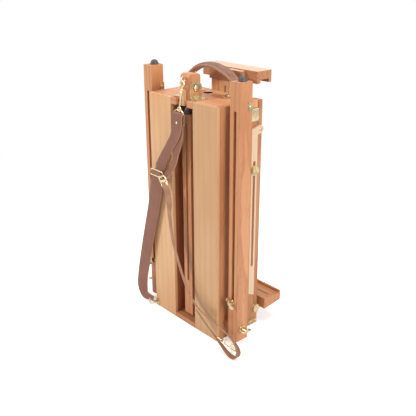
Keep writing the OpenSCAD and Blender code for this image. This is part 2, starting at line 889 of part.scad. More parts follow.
module screw_eye() {
    color("gold") {
        ring_x(eye_radius, hook_wire, eye_at);
        bar_y(eye_shank, [eye_at[1] + eye_radius - 0.6, head_front + 9], [eye_at[0], eye_at[2]]);
    }
}

hook_at = [3, 2, case_length + 33.5];
hook_radius = 6.5;
shaft_at = [1, -1];
shaft_z = [case_length + 1, case_length + 27];
shaft_radius = 3.2;
collar = 4;
collar_radius = [2.2, 3.8];

module snap_hook() {
    color("gold") {
        ring_y(hook_radius, hook_wire, hook_at);
        bar_z(shaft_radius, shaft_z, shaft_at);
        translate([shaft_at[0], shaft_at[1], shaft_z[1]]) sphere(r = shaft_radius);
        translate([shaft_at[0], shaft_at[1], shaft_z[0] - collar])
            cylinder(r1 = collar_radius[0], r2 = collar_radius[1], h = collar);
    }
}

ring_half = 13;
ring_z = [case_length - 31, case_length - 21];
ring_centre = [-2, -6];
flat_wire = 1.5;

// The swivel eye with the flat ring that the straps hang from
module strap_ring() {
    left = ring_centre[0] - ring_half;
    right = ring_centre[0] + ring_half;
    color("gold") {
        wire_between([ring_centre[0] + 2, ring_centre[1], ring_z[1]],
            [shaft_at[0], shaft_at[1], shaft_z[0] - collar - 0.2], flat_wire);
        for (z = ring_z) bar_x(flat_wire, [left, right], [ring_centre[1], z]);
        for (x = [left, right], z = ring_z) translate([x, ring_centre[1], z]) sphere(r = flat_wire);
        for (x = [left, right]) bar_z(flat_wire, ring_z, [x, ring_centre[1]]);
    }
}

// A lid stile with its lower end rounded about the hinge bolt
module lid_stile(side) {
    on_side(side) difference() {
        union() {
            block([stile_outer - stile_width, lid_front, lid_pivot[1]], [stile_outer, lid_back, case_length]);
            bar_x(lid_thickness / 2, [stile_outer - stile_width, stile_outer], lid_pivot);
        }
        bar_x(lid_bolt + bore_gap, [stile_outer - stile_width - 1, stile_outer + 1], lid_pivot);
        bar_x(stay_pin, [stile_outer - 12, stile_outer + 1], stay_pivot);
    }
}

module lid_stile_left() { color("sandybrown") lid_stile(-1); }
module lid_stile_right() { color("sandybrown") lid_stile(1); }

module lid_panel() {
    color("burlywood")
        block([stile_width - stile_outer, lid_front, lid_pivot[1] + 4],
            [stile_outer - stile_width, panel_back, case_length]);
}

// Two rails with lips that the mast board slides between
module mast_guides() {
    color("peru") both_sides() {
        block([guide_inner, panel_back, guide_bottom], [guide_inner + guide_width, guide_back, guide_top]);
        block([guide_inner - guide_lip, mast_back + run, mast_bottom], [guide_inner, guide_back, guide_top]);
    }
}

ledge_z = [38.5, 66.3];
ledge_lift = 7;
ledge_dip = 2.3;
ledge_lip = [5.5, 4.2];
ledge_slit = [23, 26];
ledge_end = 12;

// Ledge for the lower edge of a canvas, with a slit, a back lip and a rising underside
module canvas_ledge() {
    back = guide_back + ledge_depth;
    color("sandybrown") difference() {
        plate_x([-ledge_half_length, ledge_half_length]) polygon([
            [guide_back, ledge_z[0]], [back, ledge_z[0] + ledge_lift],
            [back, ledge_z[1] + ledge_lip[1]], [back - ledge_lip[0], ledge_z[1] + ledge_lip[1]],
            [back - ledge_lip[0], ledge_z[1] - ledge_dip], [guide_back, ledge_z[1]]]);
        block([ledge_end - ledge_half_length, guide_back + ledge_slit[0], ledge_z[1] - 4],
            [ledge_half_length - ledge_end, guide_back + ledge_slit[1], ledge_z[1] + 5]);
    }
}

stay_dome = [4.5, 2];

module stay_pivots() {
    color("gold") both_sides() {
        bar_x(stay_pin, [stile_outer - 11, stay_outer + 0.5], stay_pivot);
        translate([stay_outer + run, stay_pivot[0], stay_pivot[1]]) rotate([0, 90, 0])
            dome(stay_dome[0], stay_dome[1]);
    }
}

stay_end = 9.2;

// A slotted stay that holds the lid open at any angle
module stay(side) {
    near = stay_slot_y - stay_width / 2;
    far = stay_slot_y + stay_width / 2;
    on_side(side) difference() {
        plate_x([stay_inner, stay_outer]) {
            polygon([[near, stay_bottom + 8], [far, stay_bottom], [far, stay_pivot[1] - 12],
                [stay_pivot[0] + 7, stay_pivot[1] - 6], [stay_pivot[0], stay_pivot[1] + 9],
                [near, stay_pivot[1] + 3]]);
            translate(stay_pivot) circle(r = stay_end);
        }
        block([stay_inner - 1, stay_slot_y - stay_slot_half, stay_slot_z[0]],
            [stay_outer + 1, stay_slot_y + stay_slot_half, stay_slot_z[1]]);
        for (z = stay_slot_z) bar_x(stay_slot_half, [stay_inner - 1, stay_outer + 1], [stay_slot_y, z]);
        bar_x(stay_pin + bore_gap, [stay_inner - 1, stay_outer + 1], stay_pivot);
    }
}

module stay_left() { color("burlywood") stay(-1); }
module stay_right() { color("burlywood") stay(1); }

knob_washer = 12;
knob_head = [10, 4, 3.6];
knob_turn = 25;

// A slotted brass nut that slides along the stay
module stay_knob(side) {
    on_side(side) {
        bar_x(stay_slot_half - run, [stay_inner + 0.2, stay_outer + run], knob_at);
        bar_x(knob_washer, [stay_outer + run, stay_outer + 1.5], knob_at);
        translate([stay_outer + 1.5, knob_at[0], knob_at[1]]) rotate([knob_turn, 0, 0]) rotate([0, 90, 0])
            slotted_head(knob_head[0], knob_head[1], knob_head[2]);
    }
}

module stay_knob_left() { color("gold") stay_knob(-1); }
module stay_knob_right() { color("gold") stay_knob(1); }

module mast_board() {
    color("burlywood") difference() {
        block([-mast_width / 2, mast_front, mast_bottom], [mast_width / 2, mast_back, guide_top + run]);
        block([-mast_slot_half, mast_front - 1, mast_slot_z[0]],
            [mast_slot_half, mast_back + 1, mast_slot_z[1]]);
    }
}

module mast_head_block() {
    bottom = guide_top + run;
    color("peru") block([-mast_head[0], mast_head_front, bottom],
        [mast_head[0], mast_head_back, bottom + mast_head[1]]);
}

clamp_bottom = guide_top + 3;
clamp_height = 27;
clamp_groove = [10, 8, 8];

// Upper canvas clamp with a groove along its underside
module canvas_clamp() {
    clamp_back = mast_head_back + clamp_depth;
    color("sandybrown") difference() {
        block([-clamp_half_length, mast_head_back, clamp_bottom],
            [clamp_half_length, clamp_back, clamp_bottom + clamp_height]);
        block([-clamp_half_length - 1, mast_head_back + clamp_groove[0], clamp_bottom - 1],
            [clamp_half_length + 1, clamp_back - clamp_groove[1], clamp_bottom + clamp_groove[2]]);
    }
}

front_panel_left();
front_panel_right();
case_side_left();
case_side_right();
channel_walls();
base_board();
top_end_board();
bottom_end_board();
head_brackets();
head_pivot_bolt();
case_screws();
side_plates();
hinge_plates();
hinge_bolts();
catch_leaves();
leg_spacers();
pivot_wing_bolts();
harness_tabs();
harness_rings();
strap_long();
strap_short();
strap_buckles();
drawer_front();
drawer_walls();
drawer_bottom();
handle_plates();
handle_strap();
handle_links();
leg_left();
leg_band_left();
leg_slider_left();
leg_foot_left();
clamp_screw_left();
leg_right();
leg_band_right();
leg_slider_right();
leg_foot_right();
clamp_screw_right();
centre_leg_upper();
centre_hinge();
centre_leg_lower();
centre_hinge_leaf();
centre_foot();
keeper();
screw_eye();
snap_hook();
strap_ring();
lid_stile_left();
lid_stile_right();
lid_panel();
mast_guides();
canvas_ledge();
stay_pivots();
stay_left();
stay_right();
stay_knob_left();
stay_knob_right();
mast_board();
mast_head_block();
canvas_clamp();
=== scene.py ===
"""Looks of a folded sketch-box easel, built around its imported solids."""

import json
import logging
import math
from dataclasses import dataclass, field
from enum import Enum
from typing import Callable, Sequence

import bmesh
import bpy
from mathutils import Matrix, Vector


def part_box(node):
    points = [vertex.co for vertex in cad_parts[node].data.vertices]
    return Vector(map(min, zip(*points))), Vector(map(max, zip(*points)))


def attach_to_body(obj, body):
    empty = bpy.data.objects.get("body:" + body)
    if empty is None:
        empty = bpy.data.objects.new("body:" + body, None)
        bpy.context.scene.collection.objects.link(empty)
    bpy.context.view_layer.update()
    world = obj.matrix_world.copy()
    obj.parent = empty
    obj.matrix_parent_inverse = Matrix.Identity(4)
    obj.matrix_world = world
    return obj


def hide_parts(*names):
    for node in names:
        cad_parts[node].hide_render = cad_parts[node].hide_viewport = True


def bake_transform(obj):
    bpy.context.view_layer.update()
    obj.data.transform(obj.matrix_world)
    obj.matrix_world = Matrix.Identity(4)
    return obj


LOG = logging.getLogger("easel")
MM = 0.001
TAU = 2 * math.pi

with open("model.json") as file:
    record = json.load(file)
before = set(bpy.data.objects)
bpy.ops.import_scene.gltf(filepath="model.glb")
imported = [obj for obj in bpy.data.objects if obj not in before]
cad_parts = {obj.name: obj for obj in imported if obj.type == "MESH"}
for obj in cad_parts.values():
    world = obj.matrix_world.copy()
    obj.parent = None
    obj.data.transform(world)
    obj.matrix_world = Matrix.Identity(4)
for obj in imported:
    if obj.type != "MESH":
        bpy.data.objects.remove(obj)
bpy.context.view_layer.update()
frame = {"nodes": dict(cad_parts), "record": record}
BODY_OF = {node: body for body, nodes in frame["record"]["behaviour"]["bodies"].items() for node in nodes}
WHITE = (1, 1, 1, 1)
Point = Sequence[float]


# Faces that meet under the first angle count as one, and edges over the second are rounded.
FLAT_ANGLE = math.radians(0.8)
EDGE_ANGLE = math.radians(32)


def linear(red: float, green: float, blue: float) -> tuple[float, float, float, float]:
    """Turn a colour of 0 to 255 as seen on a screen into scene colour.

    Args:
        red: Red share.
        green: Green share.
        blue: Blue share.

    Returns:
        The colour with an alpha of one.
    """
    shares = (c / 255 for c in (red, green, blue))
    return (*(c / 12.92 if c < 0.04045 else ((c + 0.055) / 1.055) ** 2.4 for c in shares), 1.0)


def metres(point: Point) -> Vector:
    """Turn a point in millimetres into metres."""
    return Vector(point) * MM


class Grain(Enum):
    """Which way the fibres of a board run."""

    ALONG_X = "x"
    ALONG_Z = "z"


@dataclass(frozen=True)
class Socket:
    """A node's output on which sums can be written as Python expressions."""

    graph: "Graph"
    out: bpy.types.NodeSocket

    def _math(self, operation: str, *values: "float | Socket") -> "Socket":
        """Add a Math node.

        Args:
            operation: Name of the node's operation.
            values: Its inputs.

        Returns:
            The result.
        """
        return self.graph.node("ShaderNodeMath", {"operation": operation}, dict(enumerate(values)))

    def __add__(self, other: "float | Socket") -> "Socket":
        """Return the sum."""
        return self._math("ADD", self, other)

    __radd__ = __add__

    def __sub__(self, other: "float | Socket") -> "Socket":
        """Return the difference."""
        return self._math("SUBTRACT", self, other)

    def __rsub__(self, other: float) -> "Socket":
        """Return the difference from a number."""
        return self._math("SUBTRACT", other, self)

    def __mul__(self, other: "float | Socket") -> "Socket":
        """Return the product."""
        return self._math("MULTIPLY", self, other)

    __rmul__ = __mul__

    def apply(self, operation: str, *values: "float | Socket") -> "Socket":
        """Return any other Math operation on this value."""
        return self._math(operation, self, *values)

    def ramp(self, low: float, high: float) -> "Socket":
        """Return zero below low, one above high and a smooth rise between.

        Args:
            low: Where the rise starts.
            high: Where it ends.

        Returns:
            The risen value.
        """
        settings = {"interpolation_type": "SMOOTHSTEP"}
        return self.graph.node("ShaderNodeMapRange", settings, {"Value": self, 1: low, 2: high})


class Graph:
    """The node tree of a material or of the world."""

    def __init__(self, owner: "bpy.types.Material | bpy.types.World", output: str) -> None:
        """Empty the owner's tree but for its output.

        Args:
            owner: The material or world.
            output: The type of its output node.
        """
        owner.use_nodes = True
        self.tree = owner.node_tree
        self.tree.nodes.clear()
        self.end = self.tree.nodes.new(output).inputs[0]

    def node(self, kind: str, settings: dict, inputs: dict, out: "int | str" = 0) -> Socket:
        """Add a node of any kind.

        Args:
            kind: The node's type.
            settings: Its own properties, which are set first.
            inputs: Values or links by socket name or number.
            out: Which output is wanted.

        Returns:
            The wanted output.
        """
        made = self.tree.nodes.new(kind)
        for key, value in settings.items():
            setattr(made, key, value)
        for key, value in inputs.items():
            self.feed(made.inputs[key], value)
        return Socket(self, made.outputs[out])

    def feed(self, target: bpy.types.NodeSocket, value: object) -> None:
        """Set a socket to a value or link another to it.

        Args:
            target: The socket.
            value: The value, or the other socket.
        """
        if isinstance(value, Socket):
            self.tree.links.new(value.out, target)
        else:
            target.default_value = value

    def noise(self, vector: Socket, scale: float, detail: float = 2, roughness: float = 0.5) -> Socket:
        """Return a noise value at a place."""
        values = {"Vector": vector, "Scale": scale, "Detail": detail, "Roughness": roughness}
        return self.node("ShaderNodeTexNoise", {}, values)

    def blend(self, share: "float | Socket", low: object, high: object) -> Socket:
        """Mix two colours.

        Args:
            share: How much of the second there is.
            low: First colour.
            high: Second colour.

        Returns:
            The mixed colour.
        """
        return self.node("ShaderNodeMix", {"data_type": "RGBA"}, {"Factor": share, 6: low, 7: high}, 2)

    def place(self, order: str = "xyz", offset: Point = (0, 0, 0)) -> tuple[Socket, Socket, Socket]:
        """Return the three parts of a place on the object.

        Args:
            order: The axes in the order wanted.
            offset: What is added to each part.

        Returns:
            The parts.
        """
        where = self.node("ShaderNodeTexCoord", {}, {}, "Object")
        split = self.node("ShaderNodeSeparateXYZ", {}, {0: where}).out.node
        parts = {axis: Socket(self, split.outputs[i]) for i, axis in enumerate("xyz")}
        return tuple(parts[axis] + offset[i] for i, axis in enumerate(order))

    def join(self, a: "float | Socket", b: "float | Socket", c: "float | Socket") -> Socket:
        """Make a vector of three values."""
        return self.node("ShaderNodeCombineXYZ", {}, {0: a, 1: b, 2: c})

    def bump(self, height: Socket, strength: float, distance: float) -> Socket:
        """Return the normal that a height gives."""
        values = {"Height": height, "Strength": strength, "Distance": distance}
        return self.node("ShaderNodeBump", {}, values)


class Surface(Graph):
    """A material with one shader."""

    def __init__(self, name: str) -> None:
        """Make the material with its shader and output.

        Args:
            name: The material's name.
        """
        self.material = bpy.data.materials.new(name)
        super().__init__(self.material, "ShaderNodeOutputMaterial")
        self.shader = self.tree.nodes.new("ShaderNodeBsdfPrincipled")
        self.tree.links.new(self.shader.outputs[0], self.end)

    def finish(self, values: dict) -> bpy.types.Material:
        """Feed the shader.

        Args:
            values: Values or links by the name of the shader's socket.

        Returns:
            The material.
        """
        for key, value in values.items():
            self.feed(self.shader.inputs[key], value)
        return self.material


@dataclass(frozen=True)
class Wood:
    """A varnished timber."""

    name: str
    light: tuple[int, int, int]
    dark: tuple[int, int, int]
    flush: tuple[int, int, int]
    ring: float = 0.011
    ring_share: float = 0.35
    fibre_share: float = 0.30
    fleck_share: float = 0.30
    blotch_share: float = 0.35
    streak_share: float = 0.40
    gloss: float = 0.42

    def material(self, grain: Grain, seed: float, tone: float = 1.0) -> bpy.types.Material:
        """Make the timber's material for one board.

        Args:
            grain: Which way the fibres run.
            seed: Sets this board apart from its neighbours.
            tone: Share of the timber's brightness.

        Returns:
            The material.
        """
        graph = Surface(f"{self.name}_{grain.value}_{seed:.1f}")
        order = {Grain.ALONG_X: "yzx", Grain.ALONG_Z: "xyz"}[grain]
        a, b, c = graph.place(order, (seed * 0.37, seed * 0.53, seed * 0.71))
        slow = graph.join(a, b, c * 0.14)
        wander = graph.noise(slow, 11, 3, 0.55)
        drift = graph.noise(graph.join(a, b, c * 0.35), 28, 2)
        heart = graph.join(a, (b + c * 0.09).apply("PINGPONG", 0.05) * 1.6, 0.0)
        depth = graph.node("ShaderNodeVectorMath", {"operation": "LENGTH"}, {0: heart}, 1)
        turns = (depth + wander * 0.055 + drift * 0.008) * (1 / self.ring)
        ring = turns.apply("FRACT")
        late = ring.ramp(0.35, 0.92) * (1 - ring.ramp(0.93, 1.0))
        fibre = graph.noise(graph.join(a * 900, b * 900, c * 14), 1, 3, 0.6)
        streak = graph.noise(graph.join(a * 260, b * 260, c * 5), 1, 3, 0.62)
        pores = graph.noise(graph.join(a * 620, b * 620, c * 42), 1, 2).ramp(0.60, 0.74)
        blotch = graph.noise(graph.join(a, b, c * 0.4), 9, 2).ramp(0.3, 0.7)
        dark = late * self.ring_share + (fibre - 0.5) * self.fibre_share + pores * self.fleck_share
        dark = dark + (streak - 0.5) * self.streak_share
        light = linear(*(v * tone for v in self.light))
        colour = graph.blend(dark.ramp(-0.25, 1.0), light, linear(*(v * tone for v in self.dark)))
        colour = graph.blend(blotch * self.blotch_share, colour, linear(*(v * tone for v in self.flush)))
        height = fibre * 0.6 - pores * 0.8 - late * 0.2
        return graph.finish({
            "Base Color": colour,
            "Roughness": self.gloss + fibre * 0.14 + pores * 0.15,
            "Coat Weight": 0.18,
            "Coat Roughness": 0.22,
            "Normal": graph.bump(height, 0.10, 0.0006),
        })


BIRCH = Wood("birch", (219, 174, 126), (182, 128, 82), (203, 150, 101), 0.021, 0.24, 0.34, 0.16, 0.75)
BEECH = Wood("beech", (218, 156, 106), (166, 92, 52), (200, 130, 82), 0.014, 0.40, 0.50, 0.50, 0.5)
PALE = Wood("pale_birch", (220, 192, 162), (196, 160, 124), (212, 178, 142), 0.021, 0.24, 0.34, 0.16, 0.75)
# Beech darkened to paint shade, on boards that little light reaches and on the wall of the finger hole.
PAINTED_SHADE_BEECH = Wood("painted_shade_beech", (168, 100, 64), (118, 60, 34), (146, 80, 48), 0.014, 0.36, 0.46, 0.46, 0.5)


@dataclass(frozen=True)
class Brass:
    """Lacquered brass with a little tarnish."""

    name: str = "brass"
    clean: tuple[int, int, int] = (232, 212, 170)
    dull: tuple[int, int, int] = (150, 126, 88)
    polish: float = 0.16

    def material(self) -> bpy.types.Material:
        """Make the brass.

        Returns:
            The material.
        """
        graph = Surface(self.name)
        a, b, c = graph.place()
        where = graph.join(a, b, c)
        cloud = graph.noise(where, 70, 3).ramp(0.35, 0.75)
        lines = graph.noise(graph.join(a * 260, b * 260, c * 2400), 1, 2)
        return graph.finish({
            "Base Color": graph.blend(cloud * 0.55, linear(*self.clean), linear(*self.dull)),
            "Metallic": 1.0,
            "Roughness": self.polish + cloud * 0.14 + lines * 0.06,
            "Normal": graph.bump(lines, 0.05, 0.0003),
        })


@dataclass(frozen=True)
class Leather:
    """Brown harness leather with a pebbled face."""

    name: str = "leather"
    face: tuple[int, int, int] = (136, 86, 66)
    deep: tuple[int, int, int] = (98, 58, 42)
    worn: tuple[int, int, int] = (158, 112, 88)

    def material(self) -> bpy.types.Material:
        """Make the leather.

        Returns:
            The material.
        """
        graph = Surface(self.name)
        where = graph.join(*graph.place())
        settings = {"feature": "DISTANCE_TO_EDGE"}
        cell = graph.node("ShaderNodeTexVoronoi", settings, {"Vector": where, "Scale": 900}, 0)
        pebble = cell.ramp(0.0, 0.25)
        cloud = graph.noise(where, 26, 3).ramp(0.3, 0.72)
        fine = graph.noise(where, 2600, 2)
        colour = graph.blend(cloud * 0.5, linear(*self.face), linear(*self.worn))
        colour = graph.blend((1 - pebble) * 0.45, colour, linear(*self.deep))
        return graph.finish({
            "Base Color": colour,
            "Roughness": 0.50 + cloud * 0.12 - pebble * 0.06,
            "Normal": graph.bump(pebble * 0.8 + fine * 0.3, 0.22, 0.0004),
        })


@dataclass(frozen=True)
class Plain:
    """A dull finish with a fine mottle, for rubber, thread and cut leather edges."""

    name: str
    shade: tuple[int, int, int]
    spot: tuple[int, int, int]
    scale: float = 900
    rough: float = 0.62
    height: float = 0.15

    def material(self) -> bpy.types.Material:
        """Make the finish.

        Returns:
            The material.
        """
        graph = Surface(self.name)
        where = graph.join(*graph.place())
        fine = graph.noise(where, self.scale, 3)
        broad = graph.noise(where, self.scale / 14, 2)
        share = fine * 0.5 + broad.ramp(0.35, 0.7) * 0.5
        return graph.finish({
            "Base Color": graph.blend(share, linear(*self.shade), linear(*self.spot)),
            "Roughness": self.rough + fine * 0.15,
            "Normal": graph.bump(fine, self.height, 0.0003),
        })


class Finishes:
    """The finishes that several pieces share, each made once."""

    def __init__(self) -> None:
        """Make each shared finish."""
        self.brass = Brass().material()
        self.cream_brass = Brass("cream_brass", (246, 228, 188), (188, 156, 108), 0.22).material()
        self.old_brass = Brass("old_brass", (204, 178, 132), (150, 120, 82), 0.30).material()
        self.leather = Leather().material()
        self.handle = Leather("handle_leather", (138, 92, 70), (92, 56, 40), (178, 136, 110)).material()
        # Lighter leather of cut edges and undersides, also used for the painted highlight lines on the
        # handle.
        self.edge = Plain("cut_edge_and_highlight", (178, 132, 102), (146, 100, 74)).material()
        self.thread = Plain("thread", (206, 176, 146), (176, 142, 112), 2400, 0.7, 0.3).material()
        self.rubber = Plain("rubber", (62, 60, 58), (84, 80, 76), 700, 0.42, 0.2).material()
        # Dark finish of the rings under the bolt domes: painted shade and painted dark reflection.
        self.shadow = Plain("shade_ring", (74, 58, 40), (50, 40, 30), 600, 0.5).material()


def attach(piece: bpy.types.Object, body: str, slot: str, *nodes: str) -> bpy.types.Object:
    """Let a piece ride on a body and hide the solids that it stands for.

    Args:
        piece: The piece.
        body: The body that it moves with.
        slot: The material slot of the record, which is not used.
        nodes: Solids that it replaces.

    Returns:
        The piece.
    """
    if nodes:
        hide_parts(*nodes)
    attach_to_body(piece, body)
    LOG.info("%s rides on %s", piece.name, body)
    return piece


def mesh_piece(
    name: str, mesh: bmesh.types.BMesh, *materials: bpy.types.Material, smooth: float = 40,
) -> bpy.types.Object:
    """Turn a built mesh into an object with its materials.

    Args:
        name: The piece's name.
        mesh: The built mesh, which is freed.
        materials: The finishes of its slots.
        smooth: Faces that meet under this angle in degrees shade as one.

    Returns:
        The object.
    """
    bmesh.ops.recalc_face_normals(mesh, faces=mesh.faces)
    data = bpy.data.meshes.new(name)
    mesh.to_mesh(data)
    mesh.free()
    for material in materials:
        data.materials.append(material)
    data.shade_smooth()
    data.set_sharp_from_angle(angle=math.radians(smooth))
    piece = bpy.data.objects.new(name, data)
    bpy.context.scene.collection.objects.link(piece)
    return piece


def softened(node: str, material: bpy.types.Material, width: float = 0.9, parts: int = 2) -> bpy.types.Object:
    """Copy a solid and round its edges as sanded wood or tumbled brass is rounded.

    Args:
        node: The solid's name.
        material: Its finish.
        width: How far each edge is rounded, in millimetres.
        parts: Steps in the rounding.

    Returns:
        The rounded copy.
    """
    mesh = bmesh.new()
    mesh.from_mesh(frame["nodes"][node].data)
    bmesh.ops.remove_doubles(mesh, verts=mesh.verts, dist=1e-6)
    bmesh.ops.dissolve_limit(
        mesh, angle_limit=FLAT_ANGLE, verts=mesh.verts, edges=mesh.edges, delimit={"NORMAL"}
    )
    sharp = [e for e in mesh.edges if len(e.link_faces) == 2 and e.calc_face_angle(0) > EDGE_ANGLE]
    bmesh.ops.bevel(
        mesh, geom=sharp, offset=width * MM, offset_type="OFFSET", segments=parts,
        profile=0.5, affect="EDGES", clamp_overlap=True,
    )
    piece = mesh_piece(f"{node}_piece", mesh, material, smooth=50)
    weighted = piece.modifiers.new("flat_faces", "WEIGHTED_NORMAL")
    weighted.keep_sharp = True
    weighted.weight = 80
    return piece


def smooth_path(points: Sequence[Point], steps: int) -> list[Vector]:
    """Pass a smooth curve through points of any number of parts.

    Args:
        points: The points to pass through.
        steps: Curve points for each stretch.

    Returns:
        The curve's points.
    """
    line = [Vector(p) for p in points]
    line = [2 * line[0] - line[1], *line, 2 * line[-1] - line[-2]]
    made = []
    for i in range(1, len(line) - 2):
        p0, p1, p2, p3 = line[i - 1 : i + 3]
        for step in range(steps):
            t = step / steps
            made.append(
                0.5 * (2 * p1 + (p2 - p0) * t + (2 * p0 - 5 * p1 + 4 * p2 - p3) * t**2
                       + (3 * p1 - p0 - 3 * p2 + p3) * t**3)
            )
    made.append(line[-2])
    return made


def skin(mesh: bmesh.types.BMesh, rings: Sequence[Sequence[Vector]], closed: bool = False,
         slot: "int | Sequence[int]" = 0) -> None:
    """Join rings of points by faces.

    Args:
        mesh: The mesh that gets the faces.
        rings: Rings with as many points each.
        closed: Whether the last ring joins the first; if not, both ends are capped.
        slot: The material slot of all faces, or of each face round a ring.
    """
    made = [[mesh.verts.new(p) for p in ring] for ring in rings]
    count = len(made[0])
    slots = [slot] * count if isinstance(slot, int) else list(slot)
    last = len(made) if closed else len(made) - 1
    for i in range(last):
        near, far = made[i], made[(i + 1) % len(made)]
        for j in range(count):
            k = (j + 1) % count
            mesh.faces.new((near[j], near[k], far[k], far[j])).material_index = slots[j]
    if not closed:
        mesh.faces.new(list(reversed(made[0]))).material_index = slots[0]
        mesh.faces.new(made[-1]).material_index = slots[0]


def tube(mesh: bmesh.types.BMesh, path: Sequence[Vector], radius: "float | Callable[[float], float]",
         closed: bool = False, sides: int = 12, slot: int = 0) -> None:
    """Sweep a round section along a path in millimetres.

    Args:
        mesh: The mesh that gets the tube.
        path: The points of its middle.
        radius: Its radius, or a rule that gives it from the share of the way.
        closed: Whether the path is a ring.
        sides: Faces round it.
        slot: The material slot of the faces.
    """
    count = len(path)
    rule = radius if callable(radius) else (lambda share: radius)
    side = None
    rings = []
    for i, point in enumerate(path):
        after = path[(i + 1) % count] if closed or i < count - 1 else path[i]
        before = path[i - 1] if closed or i > 0 else path[i]
        along = (after - before).normalized()
        side = along.orthogonal() if side is None else side - along * side.dot(along)
        side.normalize()
        other = along.cross(side)
        size = rule(i / max(count - 1, 1))
        rings.append([
            (point + side * math.cos(TAU * j / sides) * size + other * math.sin(TAU * j / sides) * size) * MM
            for j in range(sides)
        ])
    if closed:
        twist = max(range(sides), key=lambda j: -(rings[0][j] - rings[-1][0]).length)
        rings[0] = rings[0][twist:] + rings[0][:twist]
    skin(mesh, rings, closed, slot)


def turned(mesh: bmesh.types.BMesh, profile: Sequence[tuple[float, float]], base: Point, axis: Point,
           sides: int = 40, slot: int = 0) -> None:
    """Turn a profile round an axis, as on a lathe.

    Args:
        mesh: The mesh that gets the faces.
        profile: Pairs of radius and height in millimetres, from one end to the other.
        base: Where height zero is.
        axis: Which way the height runs.
        sides: Faces round it.
        slot: The material slot of the faces.
    """
    up = Vector(axis).normalized()
    side = up.orthogonal().normalized()
    other = up.cross(side)
    turns = [TAU * j / sides for j in range(sides)]
    spokes = [side * math.cos(turn) + other * math.sin(turn) for turn in turns]
    rings = [
        [(Vector(base) + up * height + spoke * max(radius, 0.02)) * MM for spoke in spokes]
        for radius, height in profile
    ]
    skin(mesh, rings, False, slot)


def arc(
    centre: Point, radius: float, start: float, end: float, steps: int, across: Point, up: Point,
) -> list[Vector]:
    """Return points along an arc.

    Args:
        centre: Its middle.
        radius: Its radius.
        start: First angle in degrees.
        end: Last angle in degrees.
        steps: How many stretches it has.
        across: Direction of angle zero.
        up: Direction of a right angle.

    Returns:
        The arc's points.
    """
    angles = (math.radians(start + (end - start) * i / steps) for i in range(steps + 1))
    u, v = Vector(across), Vector(up)
    return [Vector(centre) + (u * math.cos(a) + v * math.sin(a)) * radius for a in angles]


@dataclass
class Boards:
    """Every timber piece, each cut from its own board."""

    birch: tuple[str, ...] = (
        "front_panel_left", "front_panel_right", "drawer_walls", "drawer_bottom", "lid_panel", "keeper",
        "mast_board",
    )
    pale: tuple[str, ...] = ("stay_left", "stay_right")
    beech: tuple[str, ...] = (
        "case_side_left", "case_side_right", "top_end_board", "bottom_end_board", "drawer_front", "leg_left",
        "leg_right", "lid_stile_left", "lid_stile_right", "mast_guides", "canvas_ledge", "mast_head_block",
        "canvas_clamp", "centre_leg_upper", "centre_leg_lower",
    )
    # Boards that little light reaches, in the darkened beech: painted shade.
    shaded: tuple[str, ...] = (
        "channel_walls", "base_board", "leg_spacers", "leg_slider_left", "leg_slider_right",
    )
    along_x: tuple[str, ...] = (
        "top_end_board", "bottom_end_board", "drawer_front", "canvas_ledge", "mast_head_block",
        "canvas_clamp", "leg_spacers",
    )
    pale_tops: tuple[str, ...] = ("mast_head_block", "canvas_clamp")
    finger_hole: tuple[float, float] = (-17, 92)
    hole_reach: float = 16
    first_seed: float = 1.0
    seed_step: float = 1.7
    tones: dict[str, float] = field(default_factory=lambda: {
        "canvas_clamp": 0.86, "mast_head_block": 0.90, "canvas_ledge": 0.94, "lid_stile_left": 0.93,
        "lid_stile_right": 0.93, "top_end_board": 0.99, "drawer_front": 1.03, "case_side_left": 0.90,
        "case_side_right": 0.90,
    })

    def shade_hole(self, piece: bpy.types.Object, material: bpy.types.Material) -> None:
        """Darken the wall of the finger hole, which little light reaches.

        Args:
            piece: The drawer's front.
            material: The beech darkened to paint the shade.
        """
        middle = metres((*self.finger_hole, 0)).to_2d()
        reach = self.hole_reach * MM
        piece.data.materials.append(material)
        for face in piece.data.polygons:
            if abs(face.normal.z) < 0.5 and (face.center.to_2d() - middle).length < reach:
                face.material_index = 1

    def lay_pale_top(self, piece: bpy.types.Object, material: bpy.types.Material) -> None:
        """Give the upward faces of a block a paler wood than its sides.

        Args:
            piece: The block.
            material: The paler wood.
        """
        piece.data.materials.append(material)
        for face in piece.data.polygons:
            if face.normal.z > 0.5:
                face.material_index = 1

    def build(self) -> None:
        """Round and finish each board."""
        seed = self.first_seed
        for timber, boards in (
            (BIRCH, self.birch), (PALE, self.pale), (BEECH, self.beech), (PAINTED_SHADE_BEECH, self.shaded),
        ):
            slot = "birch" if timber in (BIRCH, PALE) else "beech"
            for node in boards:
                grain = Grain.ALONG_X if node in self.along_x else Grain.ALONG_Z
                seed += self.seed_step
                tone = (0.97 + 0.05 * math.sin(seed * 5.1)) * self.tones.get(node, 1.0)
                piece = softened(node, timber.material(grain, seed, tone))
                if node in self.pale_tops:
                    self.lay_pale_top(piece, PALE.material(grain, seed + 0.4, 1.0))
                if node == "drawer_front":
                    self.shade_hole(piece, PAINTED_SHADE_BEECH.material(Grain.ALONG_Z, seed + 0.4, 0.5))
                attach(piece, BODY_OF[node], slot, node)


